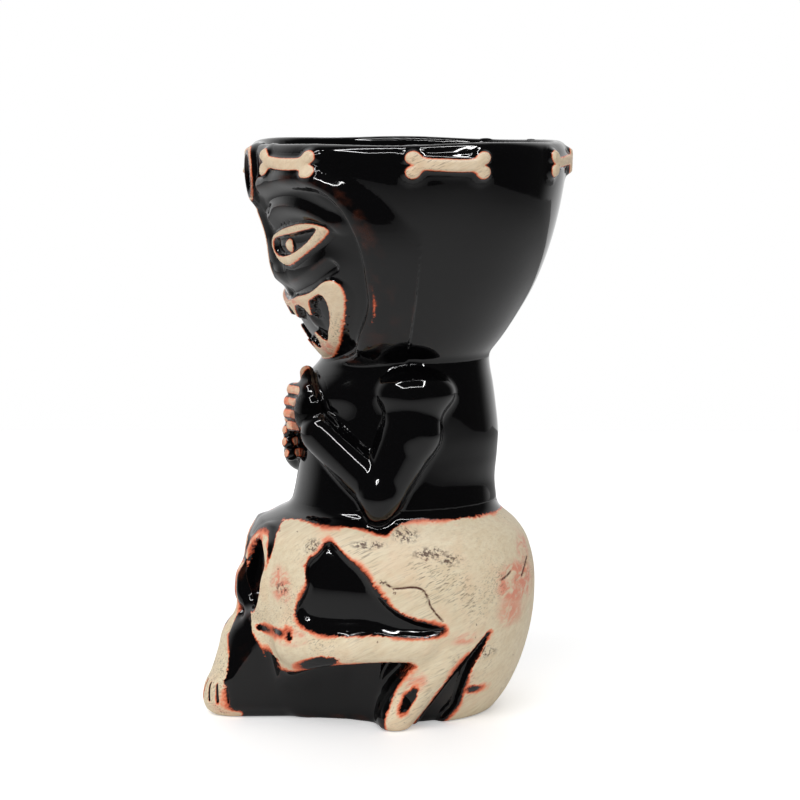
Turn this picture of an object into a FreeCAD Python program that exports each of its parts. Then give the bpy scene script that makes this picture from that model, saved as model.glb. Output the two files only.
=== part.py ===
"""Tiki mug: a crouching carved figure whose large head is the drinking bowl, seated on a skull.

Frame: millimetres, +Z up, the figure faces -Y, its left side is +X. The origin is on the flat
foot, on the axis of the bowl. Every relief piece is cut to the clay face that it is luted on.
"""
import FreeCAD, Part
import math
import os
import Sketcher
from FreeCAD import Placement, Rotation, Vector

doc = FreeCAD.newDocument("tiki_mug")
sheet = doc.addObject("Spreadsheet::Sheet", "Sizes")

BOWL_SIZES = {
    "wall": 4.0,
    "rim_radius": 46.6,
    "lip_start": 168.0,
    "lip_arc": 2.02,
    "shoulder_height": 160.0,
    "bowl_arc": 99.0,
    "waist_height": 106.4,
    "waist_radius": 24.4,
}
RELIEF_SIZES = {
    "mask_relief": 1.6,
    "feature_relief": 3.2,
    "nose_relief": 4.4,
    "bone_relief": 2.0,
    "boss_relief": 3.0,
    "skull_relief": 2.6,
    "pad_depth": 70.0,
}
FACE_SIZES = {
    "mask_foot_half": 16.0, "mask_foot_height": 107.0,
    "mask_cheek_half": 37.6, "mask_cheek_height": 146.0, "mask_cheek_arc": 45.0,
    "mask_brow_half": 26.0, "mask_brow_height": 158.6, "mask_brow_arc": 14.0,
    "eye_inner_half": 7.0, "eye_inner_height": 140.5,
    "eye_outer_half": 31.0, "eye_outer_height": 145.2,
    "eye_upper_arc": 18.0, "eye_lower_arc": 14.0,
    "eye_band": 1.9, "eye_corner_half": 3.5, "eye_corner_rise": 0.7,
    "nose_top_half": 2.2, "nose_top_height": 148.0,
    "nose_foot_half": 5.5, "nose_foot_height": 129.5,
    "mouth_half": 26.0, "mouth_height": 129.5,
    "mouth_top_arc": 59.0, "mouth_chin_arc": 26.5,
    "lip_band": 6.0, "lip_top_drop": 4.0, "lip_chin_band": 5.5,
    "fang_half": 1.8, "fang_root": 126.0, "fang_tip": 117.8,
    "fang_first": 6.6, "fang_pitch": 8.4,
    "boss_low": 155.9, "boss_high": 161.4, "boss_half": 5.4, "boss_arc": 5.5, "boss_band": 1.8,
}
BONE_SIZES = {
    "bone_height": 163.0,
    "bone_half_length": 10.4,
    "bone_shaft": 4.2,
    "bone_knob": 2.2,
    "bone_knob_spread": 1.7,
    "bone_reach": 60.0,
    "bone_first_angle": 30.0,
    "bone_pitch": 60.0,
}
TORSO_SIZES = {
    "seat_height": 62.0, "seat_back": 26.5, "seat_front": -34.5, "seat_half": 27.5,
    "belly_height": 76.0, "belly_back": 26.5, "belly_front": -31.5, "belly_half": 27.0,
    "chest_height": 92.0, "chest_back": 26.0, "chest_front": -28.5, "chest_half": 26.5,
    "neck_height": 106.4, "neck_back": 24.4, "neck_front": -24.4, "neck_half": 24.4,
}
SKULL_SIZES = {
    "foot_height": 0.0, "foot_back": 25.0, "foot_front": -44.0, "foot_half": 30.0,
    "jaw_height": 12.0, "jaw_back": 32.0, "jaw_front": -46.5, "jaw_half": 35.0,
    "cheek_height": 32.0, "cheek_back": 37.5, "cheek_front": -48.0, "cheek_half": 37.4,
    "temple_height": 48.0, "temple_back": 36.5, "temple_front": -47.5, "temple_half": 36.0,
    "dome_height": 58.0, "dome_back": 32.0, "dome_front": -43.5, "dome_half": 31.6,
    "crown_height": 62.0, "crown_back": 28.5, "crown_front": -38.5, "crown_half": 28.8,
    "floor_height": 5.0,
    "socket_side": 12.6, "socket_height": 44.5, "socket_radius": 9.6, "socket_band": 2.6,
    "nasal_half": 2.6, "nasal_foot": 30.0, "nasal_top": 46.5, "nasal_front": -52.0,
    "gum_height": 0.0, "gum_back": -30.0, "gum_front": -60.5, "gum_half": 15.0,
    "palate_height": 27.5, "palate_back": -30.0, "palate_front": -53.5, "palate_half": 11.0,
    "tooth_radius": 2.3, "tooth_length": 8.5, "tooth_pitch": 22.0,
}
LIMB_SIZES = {
    "arm_radius": 7.8, "wrist_radius": 6.4,
    "shoulder_side": 22.5, "shoulder_depth": -2.0, "shoulder_level": 94.5,
    "elbow_side": 26.0, "elbow_depth": -13.5, "elbow_level": 70.5,
    "wrist_side": 14.0, "wrist_depth": -28.0, "wrist_level": 86.0,
    "palm_radius": 6.6, "palm_side": 7.2, "palm_depth": -30.0, "palm_level": 91.0,
    "finger_radius": 1.85, "finger_length": 9.5, "finger_pitch": 3.8,
    "finger_side": 0.5, "finger_depth": -35.4, "finger_level": 85.0,
    "right_hand_drop": 9.0,
}

FINGER_COUNT = 4
TOOTH_COUNT = 6
BONE_NAMES = ["front_left", "left", "back_left", "back_right", "right", "front_right"]
TORSO_SECTIONS = ["seat", "belly", "chest", "neck"]
SKULL_SECTIONS = ["foot", "jaw", "cheek", "temple", "dome", "crown"]

# Side outlines on the skull: how far back and how high each corner is.
CHEEKBONE_OUTLINE = [
    (-50, 33), (-50, 18), (-36, 17), (0, 21.5), (9, 26.5), (-2, 28.5), (-32, 28.5), (-38, 34),
]
STRUT_OUTLINE = [
    (-6.5, 20), (-13.5, 12), (-16.8, 0), (-4.5, 0), (4, 15.5), (10, 22), (4, 22.5), (0, 20.5),
]

ALL_SIZES = {}
for group in (BOWL_SIZES, RELIEF_SIZES, FACE_SIZES, BONE_SIZES, TORSO_SIZES, SKULL_SIZES, LIMB_SIZES):
    ALL_SIZES.update(group)
for title, corners in (("cheekbone", CHEEKBONE_OUTLINE), ("strut", STRUT_OUTLINE)):
    for number, (back, height) in enumerate(corners):
        ALL_SIZES["%s_back_%d" % (title, number)] = back
        ALL_SIZES["%s_height_%d" % (title, number)] = height
for row, (alias, value) in enumerate(ALL_SIZES.items(), start=1):
    sheet.set("A%d" % row, alias)
    sheet.set("B%d" % row, str(value))
    sheet.setAlias("B%d" % row, alias)
doc.recompute()


def size(alias):
    """The number in the sheet's cell of that name."""
    return float(sheet.get(alias))


def cell(formula):
    """A formula in cell names, written for setExpression: every name gets the sheet's prefix."""
    words = []
    for word in formula.split():
        words.append("Sizes." + word if word in ALL_SIZES else word)
    return " ".join(words)


def value_of(formula):
    """The same formula worked out now, to place sketch geometry near its solved place."""
    terms = [0.0]
    action = "+"
    for word in formula.split():
        if word in "+-*/":
            action = word
            continue
        number = size(word) if word in ALL_SIZES else float(word)
        if action == "*":
            terms[-1] *= number
        elif action == "/":
            terms[-1] /= number
        else:
            terms.append(number if action == "+" else -number)
    return sum(terms)


# ---------------------------------------------------------------- sketches and pads

def new_sketch(body, name, plane_role):
    """A sketch on one of the body's own origin planes."""
    plane = [feature for feature in body.Origin.OriginFeatures if feature.Role == plane_role][0]
    sketch = body.newObject("Sketcher::SketchObject", name)
    sketch.AttachmentSupport = (plane, [""])
    sketch.MapMode = "FlatFace"
    return sketch


def arc_between(start, end, radius, bulge):
    """A circular arc of the given radius; bulge +1 bows to the left of the way start to end."""
    chord = end - start
    half = chord.Length / 2
    rise = math.sqrt(max(radius * radius - half * half, 0.0))
    left = Vector(-chord.y, chord.x, 0).normalize()
    centre = start + chord / 2 - left * (bulge * rise)
    first = math.atan2(start.y - centre.y, start.x - centre.x)
    last = math.atan2(end.y - centre.y, end.x - centre.x)
    circle = Part.Circle(centre, Vector(0, 0, 1), radius)
    if bulge > 0:
        return Part.ArcOfCircle(circle, last, first), 2, 1
    return Part.ArcOfCircle(circle, first, last), 1, 2


def fix_coordinate(sketch, kind, geometry, position, formula):
    """Drive one coordinate of a sketch point from the sheet, or hold it on the axis if it is 0."""
    if formula == "0":
        axis = -2 if kind == "DistanceX" else -1
        sketch.addConstraint(Sketcher.Constraint("PointOnObject", geometry, position, axis))
        return
    value = value_of(formula)
    index = sketch.addConstraint(Sketcher.Constraint(kind, -1, 1, geometry, position, value))
    sketch.setExpression("Constraints[%d]" % index, cell(formula))


def outline(sketch, corners):
    """A closed outline. A corner is (x, y) or (x, y, arc radius, bulge) for the edge that follows."""
    points = [Vector(value_of(corner[0]), value_of(corner[1]), 0) for corner in corners]
    ends = []
    for index, corner in enumerate(corners):
        start = points[index]
        end = points[(index + 1) % len(points)]
        if len(corner) == 2:
            ends.append((sketch.addGeometry(Part.LineSegment(start, end)), 1, 2))
            continue
        arc, first, last = arc_between(start, end, value_of(corner[2]), corner[3])
        geometry = sketch.addGeometry(arc)
        ends.append((geometry, first, last))
        radius = sketch.addConstraint(Sketcher.Constraint("Radius", geometry, value_of(corner[2])))
        sketch.setExpression("Constraints[%d]" % radius, cell(corner[2]))
    for index, corner in enumerate(corners):
        geometry, first, _ = ends[index]
        before, _, last = ends[index - 1]
        sketch.addConstraint(Sketcher.Constraint("Coincident", before, last, geometry, first))
        fix_coordinate(sketch, "DistanceX", geometry, first, corner[0])
        fix_coordinate(sketch, "DistanceY", geometry, first, corner[1])


def new_body(name):
    """An empty PartDesign body."""
    body = doc.addObject("PartDesign::Body", name)
    body.Label = name
    return body


def padded_outline(name, plane_role, corners, depth):
    """A body made by padding one outline away from an origin plane."""
    body = new_body(name)
    sketch = new_sketch(body, name + "_sketch", plane_role)
    outline(sketch, corners)
    pad = body.newObject("PartDesign::Pad", name + "_pad")
    pad.Profile = sketch
    pad.setExpression("Length", cell(depth))
    body.Tip = pad
    sketch.Visibility = False
    return body


def turned_outline(name, corners):
    """A body made by turning one outline round the vertical axis."""
    body = new_body(name)
    sketch = new_sketch(body, name + "_sketch", "XZ_Plane")
    outline(sketch, corners)
    turn = body.newObject("PartDesign::Revolution", name + "_turn")
    turn.Profile = sketch
    turn.ReferenceAxis = (sketch, ["V_Axis"])
    turn.Angle = 360
    body.Tip = turn
    return body


# ---------------------------------------------------------------- booleans and copies

def combine(kind, name, base, tool):
    """A two-piece boolean: Part::Cut, Part::Common or Part::Fuse."""
    result = doc.addObject(kind, name)
    result.Base = base
    result.Tool = tool
    result.Label = name
    return result


def cut(name, base, tool):
    return combine("Part::Cut", name, base, tool)


def common(name, base, tool):
    return combine("Part::Common", name, base, tool)


def fuse(name, pieces):
    """Several pieces made one."""
    result = doc.addObject("Part::MultiFuse", name)
    result.Shapes = pieces
    result.Label = name
    return result


def mirrored(name, source):
    """The same piece on the figure's other side."""
    result = doc.addObject("Part::Mirroring", name)
    result.Source = source
    result.Normal = Vector(1, 0, 0)
    result.Base = Vector(0, 0, 0)
    result.Label = name
    return result


def place(piece, x, y, z, rotation=None):
    """Put a piece at three formulas of the sheet."""
    turn = rotation if rotation else Rotation()
    piece.Placement = Placement(Vector(value_of(x), value_of(y), value_of(z)), turn)
    for axis, formula in (("x", x), ("y", y), ("z", z)):
        piece.setExpression("Placement.Base." + axis, cell(formula))


def cylinder(name, radius, height):
    """A plain cylinder with its sizes in the sheet."""
    piece = doc.addObject("Part::Cylinder", name)
    piece.setExpression("Radius", cell(radius))
    piece.setExpression("Height", cell(height))
    return piece


def sphere(name, radius):
    """A plain ball with its radius in the sheet."""
    piece = doc.addObject("Part::Sphere", name)
    piece.setExpression("Radius", cell(radius))
    return piece


def limb(name, start, end, radius):
    """A round bar between two joints of an arm."""
    tail = Vector(*[value_of(formula) for formula in start])
    head = Vector(*[value_of(formula) for formula in end])
    piece = cylinder(name, radius, radius)
    piece.setExpression("Height", None)
    piece.Height = (head - tail).Length
    place(piece, *start, rotation=Rotation(Vector(0, 0, 1), head - tail))
    return piece


def oval_loft(name, sections, grow="", last=None, first_height=None):
    """A solid lofted through horizontal ovals; grow is added to every half axis."""
    ovals = []
    for index, section in enumerate(sections):
        height = section + "_height"
        if index == 0 and first_height:
            height = first_height
        oval = doc.addObject("Part::Ellipse", "%s_%s" % (name, section))
        depth = "( Sizes.%s_back - Sizes.%s_front ) / 2" % (section, section)
        step = value_of(grow) if grow else 0.0
        major = (size(section + "_back") - size(section + "_front")) / 2 + step
        oval.MajorRadius = major + 1.0
        oval.MinorRadius = size(section + "_half") + step
        tail = " " + cell(grow) if grow else ""
        oval.setExpression("MajorRadius", depth + tail)
        oval.setExpression("MinorRadius", cell(section + "_half") + tail)
        middle = "( Sizes.%s_back + Sizes.%s_front ) / 2" % (section, section)
        oval.Placement = Placement(Vector(0, 0, value_of(height)), Rotation(Vector(0, 0, 1), 90))
        oval.setExpression("Placement.Base.y", middle)
        oval.setExpression("Placement.Base.z", cell(height))
        ovals.append(oval)
    if last:
        ovals.append(last)
    loft = doc.addObject("Part::Loft", name)
    loft.Sections = ovals
    loft.Solid = True
    loft.Ruled = False
    loft.Label = name
    return loft


# ---------------------------------------------------------------- the three hollow forms

def make_bowl():
    """The head: an open bowl turned round the axis, with a rounded lip."""
    return turned_outline("head_bowl", [
        ("waist_radius", "waist_height", "bowl_arc", -1),
        ("rim_radius", "shoulder_height"),
        ("rim_radius", "lip_start", "lip_arc", -1),
        ("rim_radius - wall", "lip_start"),
        ("rim_radius - wall", "shoulder_height", "bowl_arc - wall", 1),
        ("waist_radius - wall", "waist_height"),
    ])


def bowl_shell(name, inner, outer):
    """A turned shell that hugs the outside of the bowl, from one relief to another."""
    step = " + " + inner if inner else ""
    return turned_outline(name, [
        ("waist_radius" + step, "waist_height", "bowl_arc" + step, -1),
        ("rim_radius" + step, "shoulder_height"),
        ("rim_radius" + step, "lip_start"),
        ("rim_radius + " + outer, "lip_start"),
        ("rim_radius + " + outer, "shoulder_height", "bowl_arc + " + outer, 1),
        ("waist_radius + " + outer, "waist_height"),
    ])


def make_torso(solids):
    """The body of the figure: an oval tube between the skull and the bowl."""
    solids["torso_outside"] = oval_loft("torso_outside", TORSO_SECTIONS)
    inside = oval_loft("torso_inside", TORSO_SECTIONS, "- wall")
    return cut("torso", solids["torso_outside"], inside)


def make_skull(solids):
    """The skull under the figure: hollow, with a flat floor, open at the top to the torso."""
    solids["skull_outside"] = oval_loft("skull_outside", SKULL_SECTIONS)
    opening = doc.getObject("torso_inside_seat")
    inside = oval_loft("skull_inside", SKULL_SECTIONS[:-1], "- wall", opening, "floor_height")
    return cut("skull", solids["skull_outside"], inside)


# ---------------------------------------------------------------- the face on the bowl

def face_pad(name, corners):
    """An outline in the front view of the face, padded forwards."""
    return padded_outline(name, "XZ_Plane", corners, "pad_depth")


def make_mask(nodes, solids):
    """The face plate, and the upright ring that is set into it in the middle of the forehead."""
    plate = common("mask_plate", bowl_shell("mask_shell", "", "mask_relief"), face_pad("mask_pad", [
        ("mask_foot_half", "mask_foot_height", "mask_cheek_arc", -1),
        ("mask_cheek_half", "mask_cheek_height", "mask_brow_arc", -1),
        ("mask_brow_half", "mask_brow_height"),
        ("- mask_brow_half", "mask_brow_height", "mask_brow_arc", -1),
        ("- mask_cheek_half", "mask_cheek_height", "mask_cheek_arc", -1),
        ("- mask_foot_half", "mask_foot_height"),
    ]))
    rings = []
    for name, band in (("boss_outer", ""), ("boss_inner", " - boss_band")):
        rings.append(face_pad(name, [
            ("boss_half" + band, "boss_low"),
            ("boss_half" + band, "boss_high", "boss_arc" + band, -1),
            ("- boss_half" + band.replace("-", "+"), "boss_high"),
            ("- boss_half" + band.replace("-", "+"), "boss_low", "boss_arc" + band, -1),
        ]))
    ring = common("boss_ring", bowl_shell("boss_shell", "", "boss_relief"), rings[0])
    nodes["forehead_boss"] = cut("forehead_boss", ring, rings[1])
    nodes["face_mask"] = cut("face_mask", plate, rings[0])
    solids["feature_shell"] = bowl_shell("feature_shell", "mask_relief", "feature_relief")


def make_eyes(nodes, solids):
    """An almond ring each side, its outer corner the higher one."""
    almond = face_pad("eye_almond", [
        ("eye_inner_half", "eye_inner_height", "eye_lower_arc", -1),
        ("eye_outer_half", "eye_outer_height", "eye_upper_arc", -1),
    ])
    hole = face_pad("eye_hole", [
        ("eye_inner_half + eye_corner_half", "eye_inner_height + eye_corner_rise",
         "eye_lower_arc - eye_band", -1),
        ("eye_outer_half - eye_corner_half", "eye_outer_height - eye_corner_rise",
         "eye_upper_arc - eye_band", -1),
    ])
    ring = common("eye_ring", solids["feature_shell"], almond)
    nodes["left_eye"] = cut("left_eye", ring, hole)
    nodes["right_eye"] = mirrored("right_eye", nodes["left_eye"])


def make_nose(nodes):
    """A narrow ridge that widens downwards."""
    ridge = face_pad("nose_pad", [
        ("- nose_foot_half", "nose_foot_height"),
        ("nose_foot_half", "nose_foot_height"),
        ("nose_top_half", "nose_top_height"),
        ("- nose_top_half", "nose_top_height"),
    ])
    nodes["nose"] = common("nose", bowl_shell("nose_shell", "mask_relief", "nose_relief"), ridge)


def make_mouth(nodes, solids):
    """One lip round a wide open mouth, and four fangs that hang from its upper edge."""
    around = face_pad("lip_pad", [
        ("- mouth_half", "mouth_height", "mouth_chin_arc", -1),
        ("mouth_half", "mouth_height", "mouth_top_arc", 1),
    ])
    hole = face_pad("mouth_hole", [
        ("- mouth_half + lip_band", "mouth_height - lip_top_drop",
         "mouth_chin_arc - lip_chin_band", -1),
        ("mouth_half - lip_band", "mouth_height - lip_top_drop", "mouth_top_arc", 1),
    ])
    ring = common("lip_ring", solids["feature_shell"], around)
    nodes["lips"] = cut("lips", ring, hole)
    blanks = []
    for side in ("", "- "):
        for number, step in enumerate(("", " + fang_pitch")):
            middle = side + "fang_first" + (step if side == "" else step.replace("+", "-"))
            blanks.append(face_pad("fang_%d_%s" % (number, "left" if side == "" else "right"), [
                (middle, "fang_tip"),
                (middle + " + fang_half", "fang_root"),
                (middle + " - fang_half", "fang_root"),
            ]))
    teeth = common("fang_blanks", solids["feature_shell"], fuse("fang_pads", blanks))
    nodes["fangs"] = common("fangs", teeth, hole)


# ---------------------------------------------------------------- the bones round the rim

def make_bones(nodes):
    """Six long bones in a ring under the rim, each cut from one pattern at the front."""
    shaft = face_pad("bone_shaft_pad", [
        ("- bone_half_length", "bone_height - bone_shaft / 2"),
        ("bone_half_length", "bone_height - bone_shaft / 2"),
        ("bone_half_length", "bone_height + bone_shaft / 2"),
        ("- bone_half_length", "bone_height + bone_shaft / 2"),
    ])
    pieces = [shaft]
    forward = Rotation(Vector(1, 0, 0), 90)
    for side in ("", "- "):
        for level in (" + ", " - "):
            knob = cylinder("bone_knob_%d" % len(pieces), "bone_knob", "bone_reach")
            place(knob, side + "bone_half_length", "0", "bone_height" + level + "bone_knob_spread", forward)
            pieces.append(knob)
    band = bowl_shell("bone_shell", "", "bone_relief")
    pattern = common("bone_pattern", fuse("bone_outline", pieces), band)
    for number, name in enumerate(BONE_NAMES):
        bone = doc.addObject("Part::Compound", "rim_bone_" + name)
        bone.Links = [pattern]
        bone.Label = "rim_bone_" + name
        turn = "Sizes.bone_first_angle + %d * Sizes.bone_pitch" % number
        bone.Placement = Placement(Vector(), Rotation(Vector(0, 0, 1), size("bone_first_angle")))
        bone.setExpression("Placement.Rotation.Angle", turn)
        nodes["rim_bone_" + name] = bone


# ---------------------------------------------------------------- arms and hands

def make_arm(side, sign, drop, nodes, solids):
    """An upper arm and a forearm with round joints, on the side of the torso."""
    shoulder = (sign + "shoulder_side", "shoulder_depth", "shoulder_level")
    elbow = (sign + "elbow_side", "elbow_depth", "elbow_level")
    wrist = (sign + "wrist_side", "wrist_depth", "wrist_level" + drop)
    pieces = []
    for name, point in (("shoulder", shoulder), ("elbow", elbow)):
        ball = sphere("%s_%s" % (side, name), "arm_radius")
        place(ball, *point)
        pieces.append(ball)
    pieces.append(limb(side + "_upper_arm", shoulder, elbow, "arm_radius"))
    pieces.append(limb(side + "_forearm", elbow, wrist, "wrist_radius"))
    clear = cut(side + "_arm_off_torso", fuse(side + "_arm_clay", pieces), solids["torso_outside"])
    nodes[side + "_arm"] = cut(side + "_arm", clear, solids["skull_outside"])


def make_hand(side, sign, drop, nodes, solids):
    """A palm with four fingers one above the other, flat on the chest."""
    palm = sphere(side + "_palm", "palm_radius")
    place(palm, sign + "palm_side", "palm_depth", "palm_level" + drop)
    pieces = [palm]
    inward = Rotation(Vector(0, 1, 0), -90 if sign else 90)
    for number in range(FINGER_COUNT):
        finger = cylinder("%s_finger_%d" % (side, number), "finger_radius", "finger_length")
        level = "finger_level + %d * finger_pitch" % number + drop
        place(finger, sign + "finger_side", "finger_depth", level, inward)
        pieces.append(finger)
    clear = cut(side + "_hand_off_torso", fuse(side + "_hand_clay", pieces), solids["torso_outside"])
    nodes[side + "_hand"] = cut(side + "_hand", clear, nodes[side + "_arm"])


# ---------------------------------------------------------------- relief on the skull

def side_pad(name, corners):
    """An outline in the side view of the skull, padded to the figure's left."""
    return padded_outline(name, "YZ_Plane", corners, "pad_depth")


def side_corners(title, corners):
    """The cells that drive a side outline, corner by corner."""
    numbers = range(len(corners))
    return [("%s_back_%d" % (title, number), "%s_height_%d" % (title, number)) for number in numbers]


def make_upper_jaw(nodes, solids):
    """The block of the upper jaw in front of the skull, with a row of teeth."""
    blank = oval_loft("maxilla_blank", ["gum", "palate"])
    nodes["upper_jaw"] = cut("upper_jaw", blank, solids["skull_outside"])
    solids["maxilla_blank"] = blank
    pegs = []
    for number in range(TOOTH_COUNT):
        peg = cylinder("tooth_%d" % number, "tooth_radius", "tooth_length")
        turn = "( %g * Sizes.tooth_pitch * 1 deg )" % (number - (TOOTH_COUNT - 1) / 2)
        middle = "( Sizes.gum_back + Sizes.gum_front ) / 2"
        reach = "( Sizes.gum_back - Sizes.gum_front ) / 2"
        peg.setExpression("Placement.Base.x", "Sizes.gum_half * sin%s" % turn)
        peg.setExpression("Placement.Base.y", "%s - %s * cos%s" % (middle, reach, turn))
        pegs.append(peg)
    nodes["upper_teeth"] = cut("upper_teeth", fuse("tooth_pegs", pegs), blank)


def make_eye_sockets(nodes, solids):
    """A raised ring round each eye socket, and the nasal bone between them."""
    forward = Rotation(Vector(1, 0, 0), 90)
    rings = []
    for name, band in (("socket_outer", ""), ("socket_inner", " - socket_band")):
        disc = cylinder(name, "socket_radius" + band, "pad_depth")
        place(disc, "socket_side", "0", "socket_height", forward)
        rings.append(disc)
    raised = common("socket_raised", solids["skull_shell"], rings[0])
    nodes["left_socket_rim"] = cut("left_socket_rim", raised, rings[1])
    nodes["right_socket_rim"] = mirrored("right_socket_rim", nodes["left_socket_rim"])
    bridge = padded_outline("nasal_pad", "XZ_Plane", [
        ("- nasal_half", "nasal_foot"),
        ("nasal_half", "nasal_foot"),
        ("nasal_half", "nasal_top"),
        ("- nasal_half", "nasal_top"),
    ], "- nasal_front")
    nodes["nasal_bone"] = cut("nasal_bone", bridge, solids["skull_outside"])


def make_cheekbones(nodes, solids):
    """The cheekbone runs back under the temple; a strut slants down from it to the foot."""
    arch = side_pad("cheekbone_pad", side_corners("cheekbone", CHEEKBONE_OUTLINE))
    strut = side_pad("strut_pad", side_corners("strut", STRUT_OUTLINE))
    bar = common("cheekbone_bar", solids["skull_shell"], arch)
    nodes["left_cheekbone"] = cut("left_cheekbone", bar, solids["maxilla_blank"])
    post = common("strut_post", solids["skull_shell"], strut)
    nodes["left_jaw_strut"] = cut("left_jaw_strut", post, arch)
    nodes["right_cheekbone"] = mirrored("right_cheekbone", nodes["left_cheekbone"])
    nodes["right_jaw_strut"] = mirrored("right_jaw_strut", nodes["left_jaw_strut"])


# ---------------------------------------------------------------- the whole mug

def make_all():
    """Every sub-part by its node name."""
    solids = {}
    nodes = {"head_bowl": make_bowl(), "torso": make_torso(solids), "skull": make_skull(solids)}
    make_mask(nodes, solids)
    make_eyes(nodes, solids)
    make_nose(nodes)
    make_mouth(nodes, solids)
    make_bones(nodes)
    for side, sign, drop in (("left", "", ""), ("right", "- ", " - right_hand_drop")):
        make_arm(side, sign, drop, nodes, solids)
        make_hand(side, sign, drop, nodes, solids)
    raised = oval_loft("skull_raised", SKULL_SECTIONS, "+ skull_relief")
    solids["skull_shell"] = cut("skull_shell", raised, solids["skull_outside"])
    make_upper_jaw(nodes, solids)
    make_eye_sockets(nodes, solids)
    make_cheekbones(nodes, solids)
    return nodes


def check_document(nodes):
    """Stop if any object failed, or a sub-part has no sound solid."""
    for thing in doc.Objects:
        if "Invalid" in thing.State or "Error" in thing.State:
            raise RuntimeError("failed object: " + thing.Name)
    for name, thing in nodes.items():
        if thing.Shape.isNull() or not thing.Shape.isValid() or not thing.Shape.Solids:
            raise RuntimeError("bad shape: " + name)


def main():
    nodes = make_all()
    doc.recompute()
    check_document(nodes)
    os.makedirs("parts", exist_ok=True)
    for name, thing in nodes.items():
        thing.Shape.exportStep("parts/%s.step" % name)
        print("%-24s %d solid, %8.1f mm3" % (name, len(thing.Shape.Solids), thing.Shape.Volume))


main()
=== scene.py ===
"""Looks of the tiki mug: sculpted clay forms under black glaze and brushed bone slip.

The forms are signed-distance sculptures (millimetres, negative inside the clay) meshed by a
surface net. The heights of the rim, waist and seat and the rim's radius come from the frame. The
figure faces -Y and its left side is +X.
"""
import math
from collections import namedtuple
from concurrent.futures import ThreadPoolExecutor
from functools import partial, reduce

import bpy
import numpy as np
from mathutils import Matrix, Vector


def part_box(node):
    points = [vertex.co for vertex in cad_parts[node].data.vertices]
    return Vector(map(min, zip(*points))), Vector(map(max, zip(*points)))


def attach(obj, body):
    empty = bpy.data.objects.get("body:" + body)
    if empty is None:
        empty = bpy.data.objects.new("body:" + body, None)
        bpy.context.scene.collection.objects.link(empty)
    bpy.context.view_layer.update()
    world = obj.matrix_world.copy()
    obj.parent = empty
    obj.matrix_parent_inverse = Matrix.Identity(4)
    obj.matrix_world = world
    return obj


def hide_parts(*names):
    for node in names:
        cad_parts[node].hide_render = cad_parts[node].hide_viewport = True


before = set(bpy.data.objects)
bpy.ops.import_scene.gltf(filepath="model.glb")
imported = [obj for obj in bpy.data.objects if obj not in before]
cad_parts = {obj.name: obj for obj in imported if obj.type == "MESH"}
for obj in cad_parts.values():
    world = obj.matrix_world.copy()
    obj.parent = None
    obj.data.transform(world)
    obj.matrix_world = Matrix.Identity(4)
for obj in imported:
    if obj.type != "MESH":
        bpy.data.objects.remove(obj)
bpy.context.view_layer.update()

MM = 0.001


def node_box(name):
    """A CAD node's corners in millimetres."""
    low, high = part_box(name)
    return np.array(low) / MM, np.array(high) / MM


BOWL_LOW, BOWL_HIGH = node_box("head_bowl")
RIM = BOWL_HIGH[2]
WAIST = BOWL_LOW[2]
RIM_RADIUS = BOWL_HIGH[0]
SEAT = node_box("torso")[0][2]
WALL = 4.0
FLOOR = 5.0
FACE_PLANE = -6.0
FLANK = 8.0
BASE_TOP = 64.0
NO_SLIP = -6.0
OUTSIDE = -30.0


# ---- distance helpers

def union(a, b, k):
    """Union with a fillet of about k."""
    h = np.maximum(k - np.abs(a - b), 0.0) / k
    return np.minimum(a, b) - h * h * k * 0.25


def meet(a, b, k):
    """Intersection with a fillet of about k."""
    return -union(-a, -b, k)


def step(low, high, value):
    """A smooth rise from 0 at low to 1 at high."""
    ratio = np.clip((value - low) / (high - low), 0.0, 1.0)
    return ratio * ratio * (3.0 - 2.0 * ratio)


def least(*distances):
    """The smallest of several distances, positive only inside them all."""
    return reduce(np.minimum, distances)


def in_front(p, distance, plane=FACE_PLANE):
    """The distance kept in front of a plane across the figure, and far outside behind it."""
    return np.where(p[:, 1] < plane, distance, OUTSIDE)


def bump(value, width):
    """A smooth bell, 1 at value 0 and 0 beyond the width."""
    ratio = np.clip(1.0 - (value / width) ** 2, 0.0, 1.0)
    return ratio * ratio


def spot(u, v, centre_u, centre_v, half_u, half_v):
    """A soft round spot, 1 in the middle and 0 at its edge."""
    return bump(np.hypot((u - centre_u) / half_u, (v - centre_v) / half_v), 1.0)


def capsule(p, start, end, radius_start, radius_end):
    """A round bar between two points with a changing radius."""
    start = np.array(start)
    along = np.array(end) - start
    ratio = np.clip((p - start) @ along / (along @ along), 0.0, 1.0)
    gap = np.linalg.norm(p - start - ratio[:, None] * along, axis=1)
    return gap - (radius_start + (radius_end - radius_start) * ratio)


def ellipsoid(p, centre, radii):
    """An ellipsoid, near enough to a distance close to its surface."""
    q = (p - np.array(centre)) / np.array(radii)
    length = np.linalg.norm(q, axis=1)
    slope = np.linalg.norm(q / np.array(radii), axis=1)
    return length * (length - 1.0) / np.maximum(slope, 1e-6)


def edge_offsets(u, v, start, end):
    """Offsets from an edge's start, the edge itself, and the squared distance to it."""
    edge = end - start
    du = u - start[0]
    dv = v - start[1]
    ratio = np.clip((du * edge[0] + dv * edge[1]) / (edge @ edge), 0.0, 1.0)
    return du, dv, edge, (du - ratio * edge[0]) ** 2 + (dv - ratio * edge[1]) ** 2


def inside(u, v, points):
    """Distance to a closed outline in a plane, positive inside it."""
    nearest = np.full(u.shape, 1e9)
    within = np.zeros(u.shape, bool)
    for start, end in zip(points, np.roll(points, -1, axis=0)):
        du, dv, edge, square = edge_offsets(u, v, start, end)
        nearest = np.minimum(nearest, square)
        if start[1] != end[1]:
            crosses = (start[1] > v) != (end[1] > v)
            within ^= crosses & (du < dv * edge[0] / edge[1])
    return np.where(within, 1.0, -1.0) * np.sqrt(nearest)


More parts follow.
